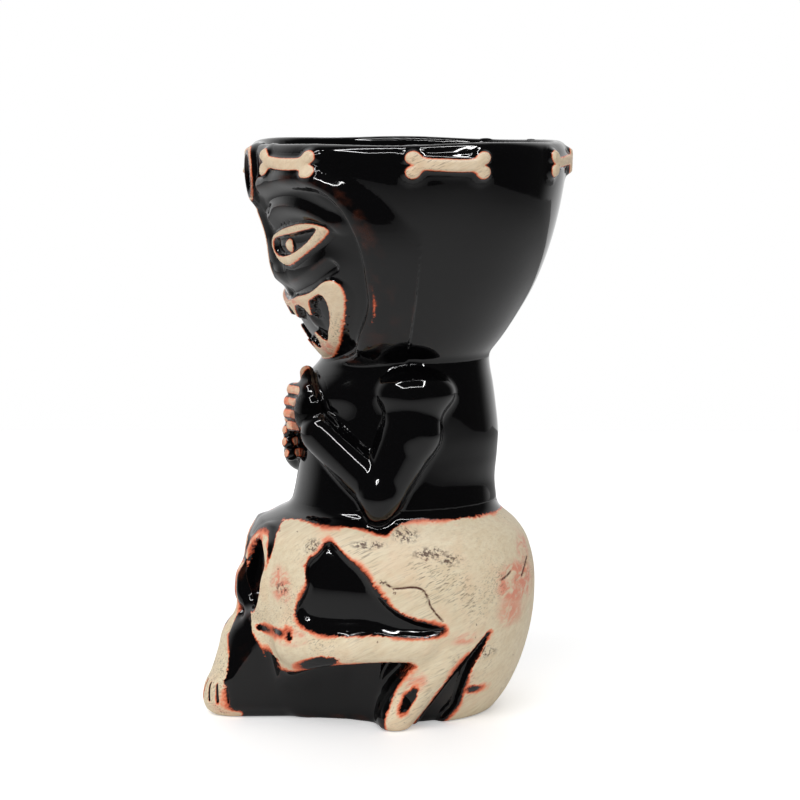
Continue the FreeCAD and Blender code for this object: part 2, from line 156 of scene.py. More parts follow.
def line_distance(u, v, points):
    """Distance to an open line in a plane."""
    squares = [edge_offsets(u, v, *ends)[3] for ends in zip(points[:-1], points[1:])]
    return np.sqrt(least(*squares))


def corner_cut(points, after):
    """Points a quarter of the way in from both ends of each edge (Chaikin)."""
    cut = [0.75 * points + 0.25 * after, 0.25 * points + 0.75 * after]
    return np.stack(cut, 1).reshape(-1, 2)


def rounded(points, rounds):
    """The outline with its corners cut round."""
    points = np.array(points, float)
    for _ in range(rounds):
        points = corner_cut(points, np.roll(points, -1, axis=0))
    return points


def rounded_line(points, rounds=2):
    """An open line with its corners cut round and its ends kept."""
    points = np.array(points, float)
    for _ in range(rounds):
        inner = corner_cut(points[:-1], points[1:])
        points = np.concatenate([points[:1], inner, points[-1:]])
    return points


class Flat:
    """A distance in a plane, worked out once on a fine grid and read back between its points."""

    def __init__(self, distance, points, margin=7.0, pitch=0.25):
        low = np.min(points, axis=0) - margin
        high = np.max(points, axis=0) + margin
        counts = np.ceil((high - low) / pitch).astype(int) + 1
        steps = [low[axis] + pitch * np.arange(counts[axis]) for axis in (0, 1)]
        u, v = np.meshgrid(*steps, indexing="ij")
        self.low = low
        self.pitch = pitch
        self.top = counts - 1.001
        self.grid = distance(u.ravel(), v.ravel(), points).reshape(counts)

    def __call__(self, u, v):
        u = np.clip((u - self.low[0]) / self.pitch, 0.0, self.top[0])
        v = np.clip((v - self.low[1]) / self.pitch, 0.0, self.top[1])
        i = u.astype(np.int64)
        j = v.astype(np.int64)
        u = u - i
        v = v - j
        flat = self.grid.ravel()
        at = i * self.grid.shape[1] + j
        near = flat[at] * (1 - v) + flat[at + 1] * v
        at = at + self.grid.shape[1]
        return near * (1 - u) + (flat[at] * (1 - v) + flat[at + 1] * v) * u


def outline(points, rounds=1):
    """A closed outline with rounded corners."""
    return Flat(inside, rounded(points, rounds))


def path(points, *grid):
    """An open line with rounded corners."""
    return Flat(line_distance, rounded_line(points), *grid)


class Curve:
    """A smooth curve through a few stations (cubic Hermite), held flat beyond its ends."""

    def __init__(self, stations, amounts):
        x = np.array(stations, float)
        y = np.array(amounts, float)
        slope = np.gradient(y, x)
        value = np.linspace(x[0], x[-1], 1200)
        i = np.clip(np.searchsorted(x, value) - 1, 0, len(x) - 2)
        width = x[i + 1] - x[i]
        ratio = (value - x[i]) / width
        a = (1 + 2 * ratio) * (1 - ratio) ** 2 * y[i] + ratio * (1 - ratio) ** 2 * width * slope[i]
        i = i + 1
        b = ratio ** 2 * (3 - 2 * ratio) * y[i] - ratio ** 2 * (1 - ratio) * width * slope[i]
        self.at = value
        self.amounts = a + b

    def __call__(self, value):
        return np.interp(value, self.at, self.amounts)


# ---- head: bowl and relief

bowl_radius = Curve(
    [WAIST - 4, WAIST, 111, 118, 126, 134.5, 144, 153, 160, 166, RIM],
    [21.5, 24.4, 27.9, 32.4, 36.9, 40.5, 43.5, 45.5, 46.5, 46.6, 46.4])

MASK = outline([
    (-8, 155.0), (0, 155.5), (12, 157.4), (22, 159.0), (30.4, 159.3), (36.6, 156.8),
    (39.4, 151.2), (39.8, 143.6), (38.9, 136.6), (36.8, 129.6), (34.2, 123), (30.4, 117.4),
    (25.0, 111.4), (19.2, 105.2), (0, 101.5), (-8, 101.5),
], 2)
EYE = outline([
    (5.4, 142.0), (10.5, 143.8), (16.5, 145.2), (23.5, 146.5), (28.5, 146.3), (32.4, 145.3),
    (29.6, 142.6), (25.6, 139.9), (19.8, 136.4), (14.0, 133.6), (9.6, 133.5), (5.8, 135.8),
    (3.8, 139.1),
], 1)
EYE_HOLE = outline([
    (6.4, 140.8), (12.0, 142.2), (18.0, 143.1), (23.4, 144.2), (29.6, 145.6), (26.0, 142.8),
    (22.4, 140.2), (16.4, 137.2), (9.8, 135.9), (6.0, 137.6),
], 1)
MOUTH = outline([
    (-8, 122.6), (0, 122.6), (6, 123.4), (11, 124.6), (17, 125.6), (21.4, 127.6),
    (24.6, 129.6), (27.8, 130.6),
    (29.2, 128.8), (28.5, 125.4), (25.7, 120.8), (21.0, 115.0), (17.0, 111.2), (12.0, 108.0),
    (6.5, 105.6), (0, 105.0), (-8, 105.0),
], 1)
MOUTH_HOLE = outline([
    (-8, 120.8), (0, 120.8), (3.0, 121.0), (5.4, 116.8), (7.4, 121.4), (12.6, 122.3),
    (15.0, 118.2), (17.0, 123.5), (20.4, 124.9), (23.4, 126.2), (23.6, 123.2), (20.8, 118.3),
    (16.2, 113.6), (13.4, 111.2), (11.2, 115.4), (9.0, 109.9), (5.0, 108.6), (3.0, 111.4),
    (1.4, 108.3), (-8, 108.2),
], 1)
PUPIL = (14.2, 139.5, 1.35, 2.1)  # x, z and half the width and height
BROW_HOLLOW = path([(6, 151), (10, 154), (19, 155.2), (27, 154.2), (32, 150)])
LID = path([(6, 146.5), (12, 149.5), (20, 150.8), (28, 149.8), (33.5, 146.2)])
LIP_FOLD = path([(5, 125.4), (12, 126.9), (19, 129.2), (24, 131.9), (28, 134.4)])
BOSS_CENTRE = 159.6
BOSS_HALF_WIDTH = 5.4
BOSS_HALF_HEIGHT = 8.4

BONE_HEIGHT = 163.2
BONE_ANGLES = {
    "front_left": 28, "left": 90, "back_left": 150,
    "back_right": 210, "right": 270, "front_right": 328,
}


def bone_inside(p, angle):
    """Distance inside one bone's outline, unrolled on the rim."""
    turn = np.arctan2(p[:, 0], -p[:, 1]) - math.radians(angle)
    turn = (turn + math.pi) % (2 * math.pi) - math.pi
    u = turn * RIM_RADIUS - 0.8
    v = p[:, 2] - BONE_HEIGHT - 0.25 * np.cos(u * 0.25 + angle)
    lean = 1.0 + 0.1 * math.sin(angle)
    shaft = np.maximum(np.abs(u) - 9.5, np.abs(v - 0.2) - 1.6 * lean)
    knobs = np.hypot((np.abs(u) - 10.0) * 0.85, np.abs(v) - 2.0) - 1.85
    return -union(shaft, knobs, 1.6)


def face_inside(p, shape):
    """Distance inside an outline of the front view, the same on both sides of the face."""
    return in_front(p, shape(np.abs(p[:, 0]), p[:, 2]))


def boss_inside(p):
    """Distance inside the forehead ring's outer edge."""
    q = np.hypot(p[:, 0] / BOSS_HALF_WIDTH, (p[:, 2] - BOSS_CENTRE) / BOSS_HALF_HEIGHT)
    return in_front(p, (1.0 - q) * BOSS_HALF_WIDTH, 0.0)


def face_relief(p):
    """How far the face stands proud of the plain bowl."""
    x = np.abs(p[:, 0])
    z = p[:, 2]
    mask = face_inside(p, MASK)
    within = step(0.0, 4.5, mask)
    height = (2.5 - 1.1 * step(26.0, 14.0, x) * step(148.0, 153.0, z)) * bump(mask, 3.9)
    height -= 2.6 * within * spot(x, z, 13.0, 143.0, 26.0, 14.0)
    height -= 0.7 * within * bump(BROW_HOLLOW(x, z), 3.8)
    height += 0.8 * within * bump(LID(x, z), 3.2)
    eye = face_inside(p, EYE)
    eye_hole = face_inside(p, EYE_HOLE)
    height += 1.5 * step(-0.6, 0.9, eye) - 1.3 * step(-0.3, 0.8, eye_hole)
    height += 0.9 * spot(x, z, 11.5, 139.4, 5.0, 3.4)
    height += 0.5 * spot(x, z, PUPIL[0], PUPIL[1], PUPIL[2] + 0.8, PUPIL[3] + 0.8)
    nose_width = 3.2 + 4.2 * step(149.0, 130.0, z)
    nose_top = 1.2 + 0.4 * step(143.0, 130.0, z)
    height += nose_top * bump(x, nose_width) * step(126.0, 129.4, z) * step(156.0, 150.0, z)
    height += 0.7 * spot(x, z, 5.4, 130.6, 4.0, 3.6)
    mouth = face_inside(p, MOUTH)
    hole = face_inside(p, MOUTH_HOLE)
    height -= 1.0 * within * bump(LIP_FOLD(x, z), 2.4)
    height += 1.7 * step(-0.9, 1.2, mouth) - 1.8 * step(-0.25, 0.8, hole)
    height += 0.9 * spot(x, z, 12.0, 117.4, 3.0, 3.6)
    height += 0.4 * within * spot(x, z, 0.0, 116.0, 24.0, 13.0)
    height += 0.4 * within * spot(x, z, 24.0, 134.5, 12.0, 8.0)
    return height


def boss_relief(p):
    """The forehead ring, with its deep hollow."""
    ring = boss_inside(p)
    return 2.3 * step(-1.4, 0.9, ring) - 2.8 * step(1.5, 3.2, ring)


def bones_relief(p):
    """The six rim bones on their low skirts of glaze."""
    height = np.zeros(len(p))
    for angle in BONE_ANGLES.values():
        distance = bone_inside(p, angle)
        skirt = 0.35 * step(-2.6, 0.0, distance)
        height = np.maximum(height, 1.5 * step(-0.9, 0.9, distance) + skirt)
    return height


def head_outside(p):
    """The outside of the head, with all its relief."""
    x, y, z = p.T
    radius = np.hypot(x, y)
    plain = bowl_radius(z)
    slope = bowl_radius(z + 1.0) - plain
    tilt = np.sqrt(1.0 + slope * slope)
    relief = np.zeros(len(p))
    front = (y < FACE_PLANE) & (z < 168.5)
    ring = boss_relief(p[front])
    clear = step(0.0, -2.5, boss_inside(p[front]))
    relief[front] = face_relief(p[front]) * clear + 0.75 * ring
    band = (z > 156.0) & (z < 169.0)
    relief[band] += bones_relief(p[band])
    waves = 0.16 * np.sin(x * 0.13 + z * 0.09 + 1.0) + 0.12 * np.sin(y * 0.17 - z * 0.11)
    return (radius - plain) / tilt - relief - waves


# ---- torso, arms, hands

TORSO_STATIONS = [56, SEAT, 69, 76, 83, 91, 98, 103, WAIST + 1]
torso_back = Curve(TORSO_STATIONS, [27, 26.6, 26.0, 26.6, 27.0, 26.2, 25.2, 24.3, 24.0])
torso_front = Curve(TORSO_STATIONS, [-37, -35.0, -33.4, -32.4, -31.6, -30.2, -28.4, -26.2, -24.4])
torso_half = Curve(TORSO_STATIONS, [27.5, 27.0, 26.2, 26.0, 26.2, 26.4, 26.2, 25.2, 24.4])

SHOULDER = (21.8, -3.6, 95.5)
UPPER_ARM = (24.0, -4.9, 85.5)
ELBOW = (25.6, -13.6, 68.8)
WRIST = (13.4, -28.8, 84.8)
HAND_DROP = {1: 0.0, -1: 9.0}
FINGER_PITCH = 3.55


def ovals(p, back, front, half, inset, power):
    """Distance to level ovals stacked up the height, squarer the higher the power."""
    back, front, half_x = [curve(p[:, 2]) for curve in (back, front, half)]
    half_x = half_x - inset
    half_y = (back - front) / 2 - inset
    x = np.abs(p[:, 0]) / half_x
    y = np.abs(p[:, 1] - (back + front) / 2) / half_y
    length = np.hypot(x, y) if power == 2 else (x ** power + y ** power) ** (1.0 / power)
    slope = np.hypot(x / half_x, y / half_y)
    return length * (length - 1.0) / np.maximum(slope, 1e-6)


def torso_form(p, inset=0.0):
    """The oval trunk, or its inside at the inset."""
    return ovals(p, torso_back, torso_front, torso_half, inset, 2)


def on_side(p, side):
    """The points mirrored, so that the figure's side lies at +X."""
    return p * np.array([side, 1.0, 1.0])


def arm_form(p, side):
    """Shoulder, upper arm, elbow and forearm."""
    q = on_side(p, side)
    wrist = np.array(WRIST) - np.array([0, 0, HAND_DROP[side]])
    upper = capsule(q, SHOULDER, UPPER_ARM, 8.6, 8.8)
    upper = union(upper, capsule(q, UPPER_ARM, ELBOW, 8.8, 7.0), 2.0)
    fore = capsule(q, ELBOW, wrist, 6.9, 6.2)
    point = ellipsoid(q, (27.8, -15.4, 66.4), (5.4, 4.6, 6.6))
    arm = union(union(upper, fore, 1.2), point, 3.0)
    return union(arm, ellipsoid(q, (20.5, -3.0, 97.0), (11.5, 12.5, 7.5)), 4.0)


def hand_form(p, side):
    """A closed hand with four fingers across the chest and the thumb up."""
    q = on_side(p, side) + np.array([0, 0, HAND_DROP[side]])
    hand = ellipsoid(q, (8.4, -30.6, 90.6), (7.4, 5.4, 7.6))
    for number in range(4):
        level = 86.2 + FINGER_PITCH * number
        bend = 0.8 * abs(number - 1.4)
        tip = (1.0 + 0.6 * abs(number - 1.5), -36.2 + bend, level - 0.5)
        finger = capsule(q, (9.0, -33.0 + bend, level), tip, 2.3, 2.05)
        hand = union(hand, finger, 0.6)
    thumb = capsule(q, (9.0, -31.0, 96.5), (3.6, -31.2, 101.4), 2.7, 2.1)
    return union(hand, thumb, 1.6)


def trunk(p):
    """The torso with its arms and hands run into it, still solid."""
    body = torso_form(p)
    chest = ellipsoid(p, (0, -21.0, 95.5), (18.0, 10.5, 7.5))
    body = union(body, chest, 5.0)
    for form, fillet in ((arm_form, 1.6), (hand_form, 0.9)):
        for side in (1, -1):
            body = union(body, form(p, side), fillet)
    return body


# ---- skull

SKULL_STATIONS = [-4, 0, 5, 12, 20, 28, 36, 45, 53, 58, 61.5, 65]
skull_back = Curve(
    SKULL_STATIONS, [21, 24.6, 28.6, 32.2, 35.0, 36.8, 37.5, 37.0, 34.6, 32.0, 29.6, 24.0])
skull_front = Curve(
    SKULL_STATIONS,
    [-34, -38, -41.5, -44.5, -46.5, -48.0, -48.8, -48.6, -46.8, -44.2, -41.6, -37.0])
skull_half = Curve(
    SKULL_STATIONS, [24, 28.0, 31.0, 34.6, 36.9, 38.0, 38.4, 37.8, 34.8, 32.2, 29.6, 24.0])

TEMPLE = outline([
    (-29.8, 55.6), (-33.0, 52.0), (-35.9, 49.6), (-36.6, 46.5), (-36.2, 43.5), (-37.2, 40.5),
    (-38.8, 37.0), (-39.2, 34.0), (-38.0, 31.2), (-35.0, 29.6), (-29.3, 29.0), (-19.6, 29.4),
    (-10.0, 28.6), (-1.4, 28.0), (3.6, 30.2), (-1.5, 31.8), (-7.5, 33.6), (-13.0, 36.6),
    (-17.5, 41.8), (-21.1, 47.6), (-25.5, 51.4), (-28.1, 54.6),
], 1)
UNDER_ARCH = outline([
    (-62, 34), (-52.5, 31), (-49.6, 26.5), (-47.2, 21.5), (-44.0, 17.0), (-39.5, 15.4),
    (-35.5, 17.4), (-30.0, 19.4), (-22.0, 20.6), (-13.0, 20.8), (-6.0, 20.2), (-8.4, 17.5),
    (-12.6, 12.0), (-14.9, 6.0), (-16.5, -6), (-62, -6),
], 1)
WEDGE = outline([
    (-5.0, -3.0), (-3.4, 3.2), (0.6, 10.0), (5.2, 16.8), (11.2, 23.2), (17.4, 29.4), (14.4, 22.8),
    (10.8, 16.6), (9.0, 10.0), (8.4, 5.0), (5.0, 1.2), (2.0, -3.0),
], 1)
cap_height = Curve(
    [-60, -48, -45.6, -44.4, -43.2, -41.6, -37.4, -31.8, -25.3, -19.2, -13.8, -9.8, -5.2, 4.3,
     17, 28, 40],
    [40, 44, 47.5, 50.6, 54.6, 57.4, 59.7, 59.4, 59.2, 58.6, 57.2, 59.3, 60.7, 60.4,
     60.2, 60.2, 60.4])
CRACKS = [
    path([(-14.7, 43.8), (-12.2, 42.5), (-8.0, 43.0), (-4.4, 42.4), (-2.8, 39.6), (-2.0, 36.6),
          (1.6, 32.6)], 3.0, 0.15),
    path([(31.5, 47.0), (28.4, 42.4)], 3.0, 0.15),
    path([(24.0, 44.4), (21.8, 43.0), (20.6, 42.8)], 3.0, 0.15),
]
DARK_SPOTS = [  # y, z, half the width and height, lean
    (-8.0, 9.4, 1.5, 3.2, 0.5), (12.6, 10.6, 1.9, 0.8, 0.1), (-46.6, 27.8, 1.3, 0.7, 0.0),
    (-43.6, 28.4, 0.7, 0.5, 0.0), (-41.2, 28.0, 0.5, 1.0, 0.0), (-33.3, 20.3, 4.0, 2.2, 0.9),
    (-44.4, 19.0, 1.3, 2.2, -0.6),
]

SKULL_POWER = 2.25
SOCKET = (8.6, -47.5, 43.3)
SOCKET_RADII = (6.1, 9.5, 9.9)
ARCH_MIDDLE = (33.0, -24.0, 24.8)
front_reach = Curve(
    [-2, 1, 4, 8, 12.6, 19, 25.4, 29.8, 38.2, 42.1, 45.3, 52.5, 57],
    [-57.5, -61.2, -62.6, -62.2, -60.0, -57.9, -56.1, -53.3, -52.4, -51.8, -50.0, -48.2, -45.5])


def face_front(p):
    """How far forward the skull's face comes, falling back to the sides."""
    return front_reach(p[:, 2]) + 0.014 * p[:, 0] ** 2


def socket_inside(p):
    """Distance inside an eye socket's edge in the front view."""
    u = (np.abs(p[:, 0]) - SOCKET[0]) / SOCKET_RADII[0]
    v = (p[:, 2] - SOCKET[2]) / SOCKET_RADII[2]
    return (1.0 - np.hypot(u, v)) * SOCKET_RADII[0]


def lower_half(y):
    """Half the width that the jaw keeps on the ground below the cheekbones."""
    stations = [-62, -59, -55, -45, -30, -22, -14]
    return np.interp(y, stations, [2.5, 6.5, 9.0, 11.0, 14.0, 17.5, 24.0])


def skull_form(p, inset=0.0):
    """The cranium's ovals, or their inside at the inset."""
    return ovals(p, skull_back, skull_front, skull_half, inset, SKULL_POWER)


def crown(p):
    """The rounded top that closes the cranium under the torso."""
    x, y, z = p.T
    q = np.hypot(x / 30.0, (y + 6.0) / 36.0)
    return z - (64.0 - 3.4 * q * q)


def jaw_form(p):
    """The upper jaw: narrow in front, widening backwards and upwards."""
    x, y, z = p.T
    front = face_front(p)
    half = lower_half(y) + 0.10 * np.clip(z, 0.0, 30.0) - 2.6 * step(4.5, -1.0, z)
    depth = np.clip((y - front) / 9.0, 0.0, 1.0)
    half = np.minimum(half, 12.5 * np.sqrt(1.0 - (1.0 - depth) ** 2) + 0.3)
    block = meet(meet(np.abs(x) - half, front - y, 3.0), z - 30.0, 4.0)
    block = meet(block, y + 25.0, 2.0)
    ends = np.maximum(front - y, z - 49.0)
    ridge = meet(np.hypot(x, 0.5 * (y + 48.5)) - 2.3, ends, 1.5)
    ridge = meet(ridge, 26.0 - z, 2.0)
    block = union(block, ridge, 3.0)
    for centre, tilt in ((-3.3, 0.25), (3.3, -0.25)):
        hole = capsule(p, (centre + 4 * tilt, -53.6, 31.5), (centre, -55.6, 26.0), 0.9, 1.3)
        block = meet(block, -hole, 0.8)
    return block + slit_depth(p)


def slit_depth(p):
    """Grooves between the teeth, along the front of the jaw."""
    x, y, z = p.T
    around = np.arctan2(x, -(y + 47.0)) * 12.0
    cell = np.abs((around + 180.0) % 3.0 - 1.5)
    groove = bump(1.5 - cell, 0.75) * step(11.4, 9.2, z) * step(3.6, 5.4, z)
    return groove * step(9.4, 8.0, np.abs(x)) * step(-50.0, -53.0, y)


def skull_solid(p):
    """The whole skull, still solid."""
    x, y, z = p.T
    side = np.abs(x)
    flank = side > FLANK
    mirrored = np.stack([side, y, z], 1)
    bone = meet(skull_form(p), crown(p), 9.0)
    bone = union(bone, ellipsoid(p, (0, -43.0, 54.0), (17.0, 4.6, 3.4)), 4.0)
    arch = capsule(mirrored, ARCH_MIDDLE, (35.4, -4.0, 25.2), 3.6, 3.4)
    arch = union(arch, capsule(mirrored, (22.0, -38.5, 25.0), ARCH_MIDDLE, 6.2, 3.8), 3.0)
    bone = union(bone, arch, 3.0)
    slope = 0.45 + 0.55 * step(2.0, -12.0, (y + 32.0) * 0.55 + (z - 30.0) * 0.6)
    ledge = step(37.0, 31.0, z) * step(-10.0, -24.0, y)
    bone = bone + 3.8 * step(-0.4, 1.9 + 3.6 * ledge, TEMPLE(y, z)) * slope * flank
    reach = np.clip(z / 21.0, 0.0, 1.25)
    keep = lower_half(y) + (33.0 - lower_half(y)) * 0.62 * reach ** 2.4
    hollow = meet(-UNDER_ARCH(y, z), keep - side, 2.5)
    bone = meet(bone, -hollow, 1.8)
    strut = capsule(mirrored, (33.0, 2.6, 20.0), (31.0, -11.0, 3.0), 4.0, 5.0)
    bone = union(bone, strut, 2.6)
    bone = bone + 2.6 * step(-0.3, 1.8, WEDGE(y, z)) * flank
    dimple = spot(y + 0.45 * (z - 9.4), z, -8.0, 9.4, 2.2, 4.0) * flank
    bone = bone + 0.9 * dimple
    bone = union(bone, jaw_form(p), 2.6)
    bone = bone - 1.3 * bump(socket_inside(p) + 1.3, 2.2) * (y < -36.0)
    bone = meet(bone, face_front(p) - y, 1.5)
    bone = meet(bone, -ellipsoid(mirrored, SOCKET, SOCKET_RADII), 1.0)
    for crack in CRACKS:
        bone = bone + 0.55 * bump(crack(y, z), 0.75) * flank
    return meet(bone, -z, 1.6)


# ---- the clay as one

def cavity(p):
    """The space for the drink, from the skull's floor up to the bowl."""
    x, y, z = p.T
    low = meet(skull_form(p, WALL + 0.8), FLOOR - z, 5.0)
    low = meet(low, z - 57.5, 6.0)
    jaw_half = lower_half(y) - WALL + 0.9 * np.clip(z - 14.0, 0.0, 30.0)
    low = meet(low, np.where(y < -14.0, np.abs(x) - jaw_half, -20.0), 4.0)
    middle = meet(meet(torso_form(p, WALL), 52.0 - z, 2.0), z - WAIST - 2.0, 1.0)
    top = meet(np.hypot(x, y) - bowl_radius(z) + WALL, WAIST - 3.0 - z, 1.0)
    return union(union(low, middle, 3.0), top, 3.0)


def solid(p):
    """The outside of all the clay, as if it weren't hollow."""
    x, y, z = p.T
    upper = np.full(len(p), 50.0)
    high = z > WAIST - 12.0
    upper[high] = meet(head_outside(p[high]), (WAIST - 2.2) - z[high], 2.0)
    middle = np.full(len(p), 50.0)
    waist = (z < WAIST + 6.0) & (z > 50.0)
    middle[waist] = meet(trunk(p[waist]), z[waist] - (WAIST + 1.0), 2.0)
    lower = np.full(len(p), 50.0)
    base = z < 74.0
    lower[base] = skull_solid(p[base])
    result = union(union(upper, middle, 1.3), lower, 2.6)
    turn = np.arctan2(y, x)
    top = RIM - 0.25 + 0.35 * np.sin(2 * turn + 0.7) + 0.2 * np.sin(5 * turn)
    return meet(result, z - top, 4.4)


# ---- colour fields

jaw_cream = Curve(
    [-2, 4, 8, 14, 19, 23, 26.5, 29.5, 33, 50], [8.2, 8.9, 8.9, 8.3, 7.3, 5.9, 4.2, 2.8, 2.0, 1.8])


def head_slip(p):
    """Slip on the eyes, lips, forehead ring, nose line, mask edge and rim bones."""
    x, y, z = p.T
    side = np.abs(x)
    eye = np.minimum(face_inside(p, EYE), -face_inside(p, EYE_HOLE))
    mouth = np.minimum(face_inside(p, MOUTH), -face_inside(p, MOUTH_HOLE))
    pupil = (1.0 - np.hypot((side - PUPIL[0]) / PUPIL[2], (z - PUPIL[1]) / PUPIL[3])) * PUPIL[2]
    pupil = np.where(y < 0, pupil, NO_SLIP)
    ring = boss_inside(p)
    ring = np.minimum(ring - 0.1, 0.95 - ring)
    stripe = np.where(y < 0, least(0.75 - side, z - 130.0, 150.5 - z), NO_SLIP)
    crest = 0.13 - np.abs(face_inside(p, MASK) - 0.1) * 0.5 - 0.25 * np.abs(z - 124.0) / 9.0
    value = reduce(np.maximum, (NO_SLIP, eye, mouth, pupil, ring, stripe, crest))
    for angle in BONE_ANGLES.values():
        value = np.maximum(value, bone_inside(p, angle) + 0.1)
    return np.where(np.hypot(x, y) > bowl_radius(z) - 2.6, value, NO_SLIP)


def hand_slip(p):
    """Slip on the fronts of the fingers and thumbs."""
    x, y, z = p.T
    value = np.full(len(p), NO_SLIP)
    for side, drop in HAND_DROP.items():
        level = z + drop
        reach = x * side
        for number in range(4):
            bend = 0.8 * abs(number - 1.4)
            along = np.clip(reach, 0.4 + 0.6 * abs(number - 1.5), 7.6)
            finger = 1.25 - np.hypot(reach - along, level - 86.0 - FINGER_PITCH * number)
            value = np.maximum(value, np.minimum(finger, -33.4 + bend - y))
        thumb = 1.7 - np.hypot((reach - 3.9) * 0.9, (level - 101.0) * 0.6)
        value = np.maximum(value, np.minimum(thumb, -30.6 - y))
    return np.minimum(value, 0.30)


def skull_slip(p):
    """Slip on the skull's bone, with black hollows, tooth gaps and spots."""
    x, y, z = p.T
    side = np.abs(x)
    flank = side > 5.0
    front = y < -30
    value = cap_height(y) - z
    for shape in (TEMPLE, UNDER_ARCH, WEDGE):
        value = np.where(flank, np.minimum(value, -shape(y, z)), value)
    ring = socket_inside(p)
    rim = np.where(y < -38, np.minimum(ring + 2.3, 0.1 - ring), NO_SLIP)
    value = np.maximum(value, rim)
    value = np.where(front, np.minimum(value, 0.1 - ring), value)
    depth = face_front(p) + 1.8 - y
    value = np.where((ring > -1.0) & front, np.minimum(value, depth), value)
    jaw = np.minimum(jaw_cream(z) - side, -51.6 + 2.0 * step(18, 28, z) - y)
    value = np.where(y < -49.4, jaw, value)
    strut_front = (y > -19.0) & (y < -10.0) & (z < 18.0)
    value = value - 1.5 * step(35.0, 32.5, side) * strut_front
    slits = slit_depth(p)
    value = np.where(slits > 0.05, np.minimum(value, 1.3 - 2.6 * slits), value)
    for u, v, half_u, half_v, lean in DARK_SPOTS:
        distance = np.hypot((y - u - lean * (z - v)) / half_u, (z - v) / half_v) - 1.0
        value = np.where(flank, np.minimum(value, distance * min(half_u, half_v)), value)
    return value


def slip_field(p):
    """Distance inside the bone-coloured slip, in millimetres, negative under the black glaze."""
    y = p[:, 1]
    z = p[:, 2]
    slip = np.full(len(p), NO_SLIP)
    head = z > 102.5
    slip[head] = head_slip(p[head])
    hands = (z > 70.0) & (z <= 104.0) & (y < -24.0)
    slip[hands] = np.maximum(slip[hands], hand_slip(p[hands]))
    base = z < BASE_TOP
    slip[base] = np.maximum(slip[base], skull_slip(p[base]))
    return np.clip(slip, NO_SLIP, -NO_SLIP)


RUBBED = (  # y, z, half the width and height, amount
    (-42.5, 42.0, 3.6, 7.5, 0.9), (-41.0, 27.6, 7.0, 3.6, 0.8), (26.0, 41.0, 10.0, 9.0, 1.0),
    (24.0, 33.0, 8.0, 8.0, 0.5), (30.0, 50.0, 5.0, 6.0, 0.5), (-23.0, 45.0, 5.0, 8.0, 0.6),
    (-13.0, 34.0, 8.0, 3.0, 0.7), (-6.0, 15.0, 5.0, 5.0, 0.7), (9.0, 12.0, 6.0, 7.0, 0.6),
    (8.0, 27.0, 8.0, 3.0, 0.6), (-24.0, 19.5, 9.0, 2.6, 0.6), (-57.0, 4.0, 6.0, 5.0, 0.5),
)
SPECKLED = (  # y, z, half the width and height
    (-1.5, 52.0, 8.0, 2.6), (4.5, 50.0, 6.0, 2.2), (-19.0, 54.6, 8.0, 1.8), (-16.0, 44.6, 2.0, 1.2),
    (-33.8, 53.0, 3.8, 4.4), (-42.4, 41.2, 2.2, 2.8), (-8.0, 57.0, 6.0, 3.4),
    (14.0, 22.0, 8.0, 3.0),
)


def rub_field(p):
    """Where the slip is rubbed pink and red."""
    x, y, z = p.T
    rub = np.zeros(len(p))
    for *place, amount in RUBBED:
        rub = np.maximum(rub, amount * spot(y, z, *place) * (z < BASE_TOP))
    chin = spot(np.abs(x), z, 13.0, 108.0, 9.0, 5.0) * (y < -15)
    lip = spot(np.abs(x), z, 7.0, 123.0, 12.0, 3.0) * (y < -15)
    hands = step(104, 100, z) * step(70, 74, z) * (y < -24)
    return reduce(np.maximum, (rub, 0.9 * chin, 0.5 * lip, 0.4 * hands))


def speck_field(p):
    """Where brown specks gather on the slip."""
    spots = [spot(p[:, 1], p[:, 2], *place) for place in SPECKLED]
    return reduce(np.maximum, spots) * (p[:, 2] < BASE_TOP)


def crack_field(p):
    """Distance to the cracks drawn in the cranium."""
    nearest = np.full(len(p), 3.0)
    flank = (np.abs(p[:, 0]) > FLANK) & (p[:, 2] < BASE_TOP)
    for crack in CRACKS:
        nearest[flank] = np.minimum(nearest[flank], crack(p[flank, 1], p[flank, 2]))
    return nearest


# ---- meshing

def measure(field, points):
    """The field at many points, worked out in blocks side by side."""
    blocks = [points[start:start + 16000] for start in range(0, len(points), 16000)]
    with ThreadPoolExecutor(4) as pool:
        return np.concatenate(list(pool.map(field, blocks)))


def sample(field, low, high, size):
    """The field on a grid, worked out in full only near its surface."""
    counts = np.ceil((high - low) / size).astype(int) + 1
    block = 4
    blocks = np.ceil(counts / block).astype(int)
    counts = blocks * block
    axes = [low[axis] + size * np.arange(counts[axis]) for axis in range(3)]
    middle = (block - 1) / 2
    centres = [low[axis] + size * (block * np.arange(blocks[axis]) + middle) for axis in range(3)]
    grid = np.stack(np.meshgrid(*centres, indexing="ij"), -1).reshape(-1, 3)
    rough = measure(field, grid).reshape(blocks)
    reach = size * block * 0.87 * 1.5 + 1.0
    values = rough
    for axis in range(3):
        values = np.repeat(values, block, axis)
    near = np.abs(values) < reach
    index = np.argwhere(near)
    points = np.stack([axes[axis][index[:, axis]] for axis in range(3)], 1)
    values[near] = measure(field, points)
    values[0] = values[-1] = np.maximum(values[0], 1.0)
    values[:, 0] = np.maximum(values[:, 0], 1.0)
    values[:, -1] = np.maximum(values[:, -1], 1.0)
    values[:, :, 0] = np.maximum(values[:, :, 0], 1.0)
    values[:, :, -1] = np.maximum(values[:, :, -1], 1.0)
    return values


CORNERS = [(n & 1, n >> 1 & 1, n >> 2) for n in range(8)]
EDGES = [(n, n + step) for step in (1, 2, 4) for n in range(8) if not n & step]


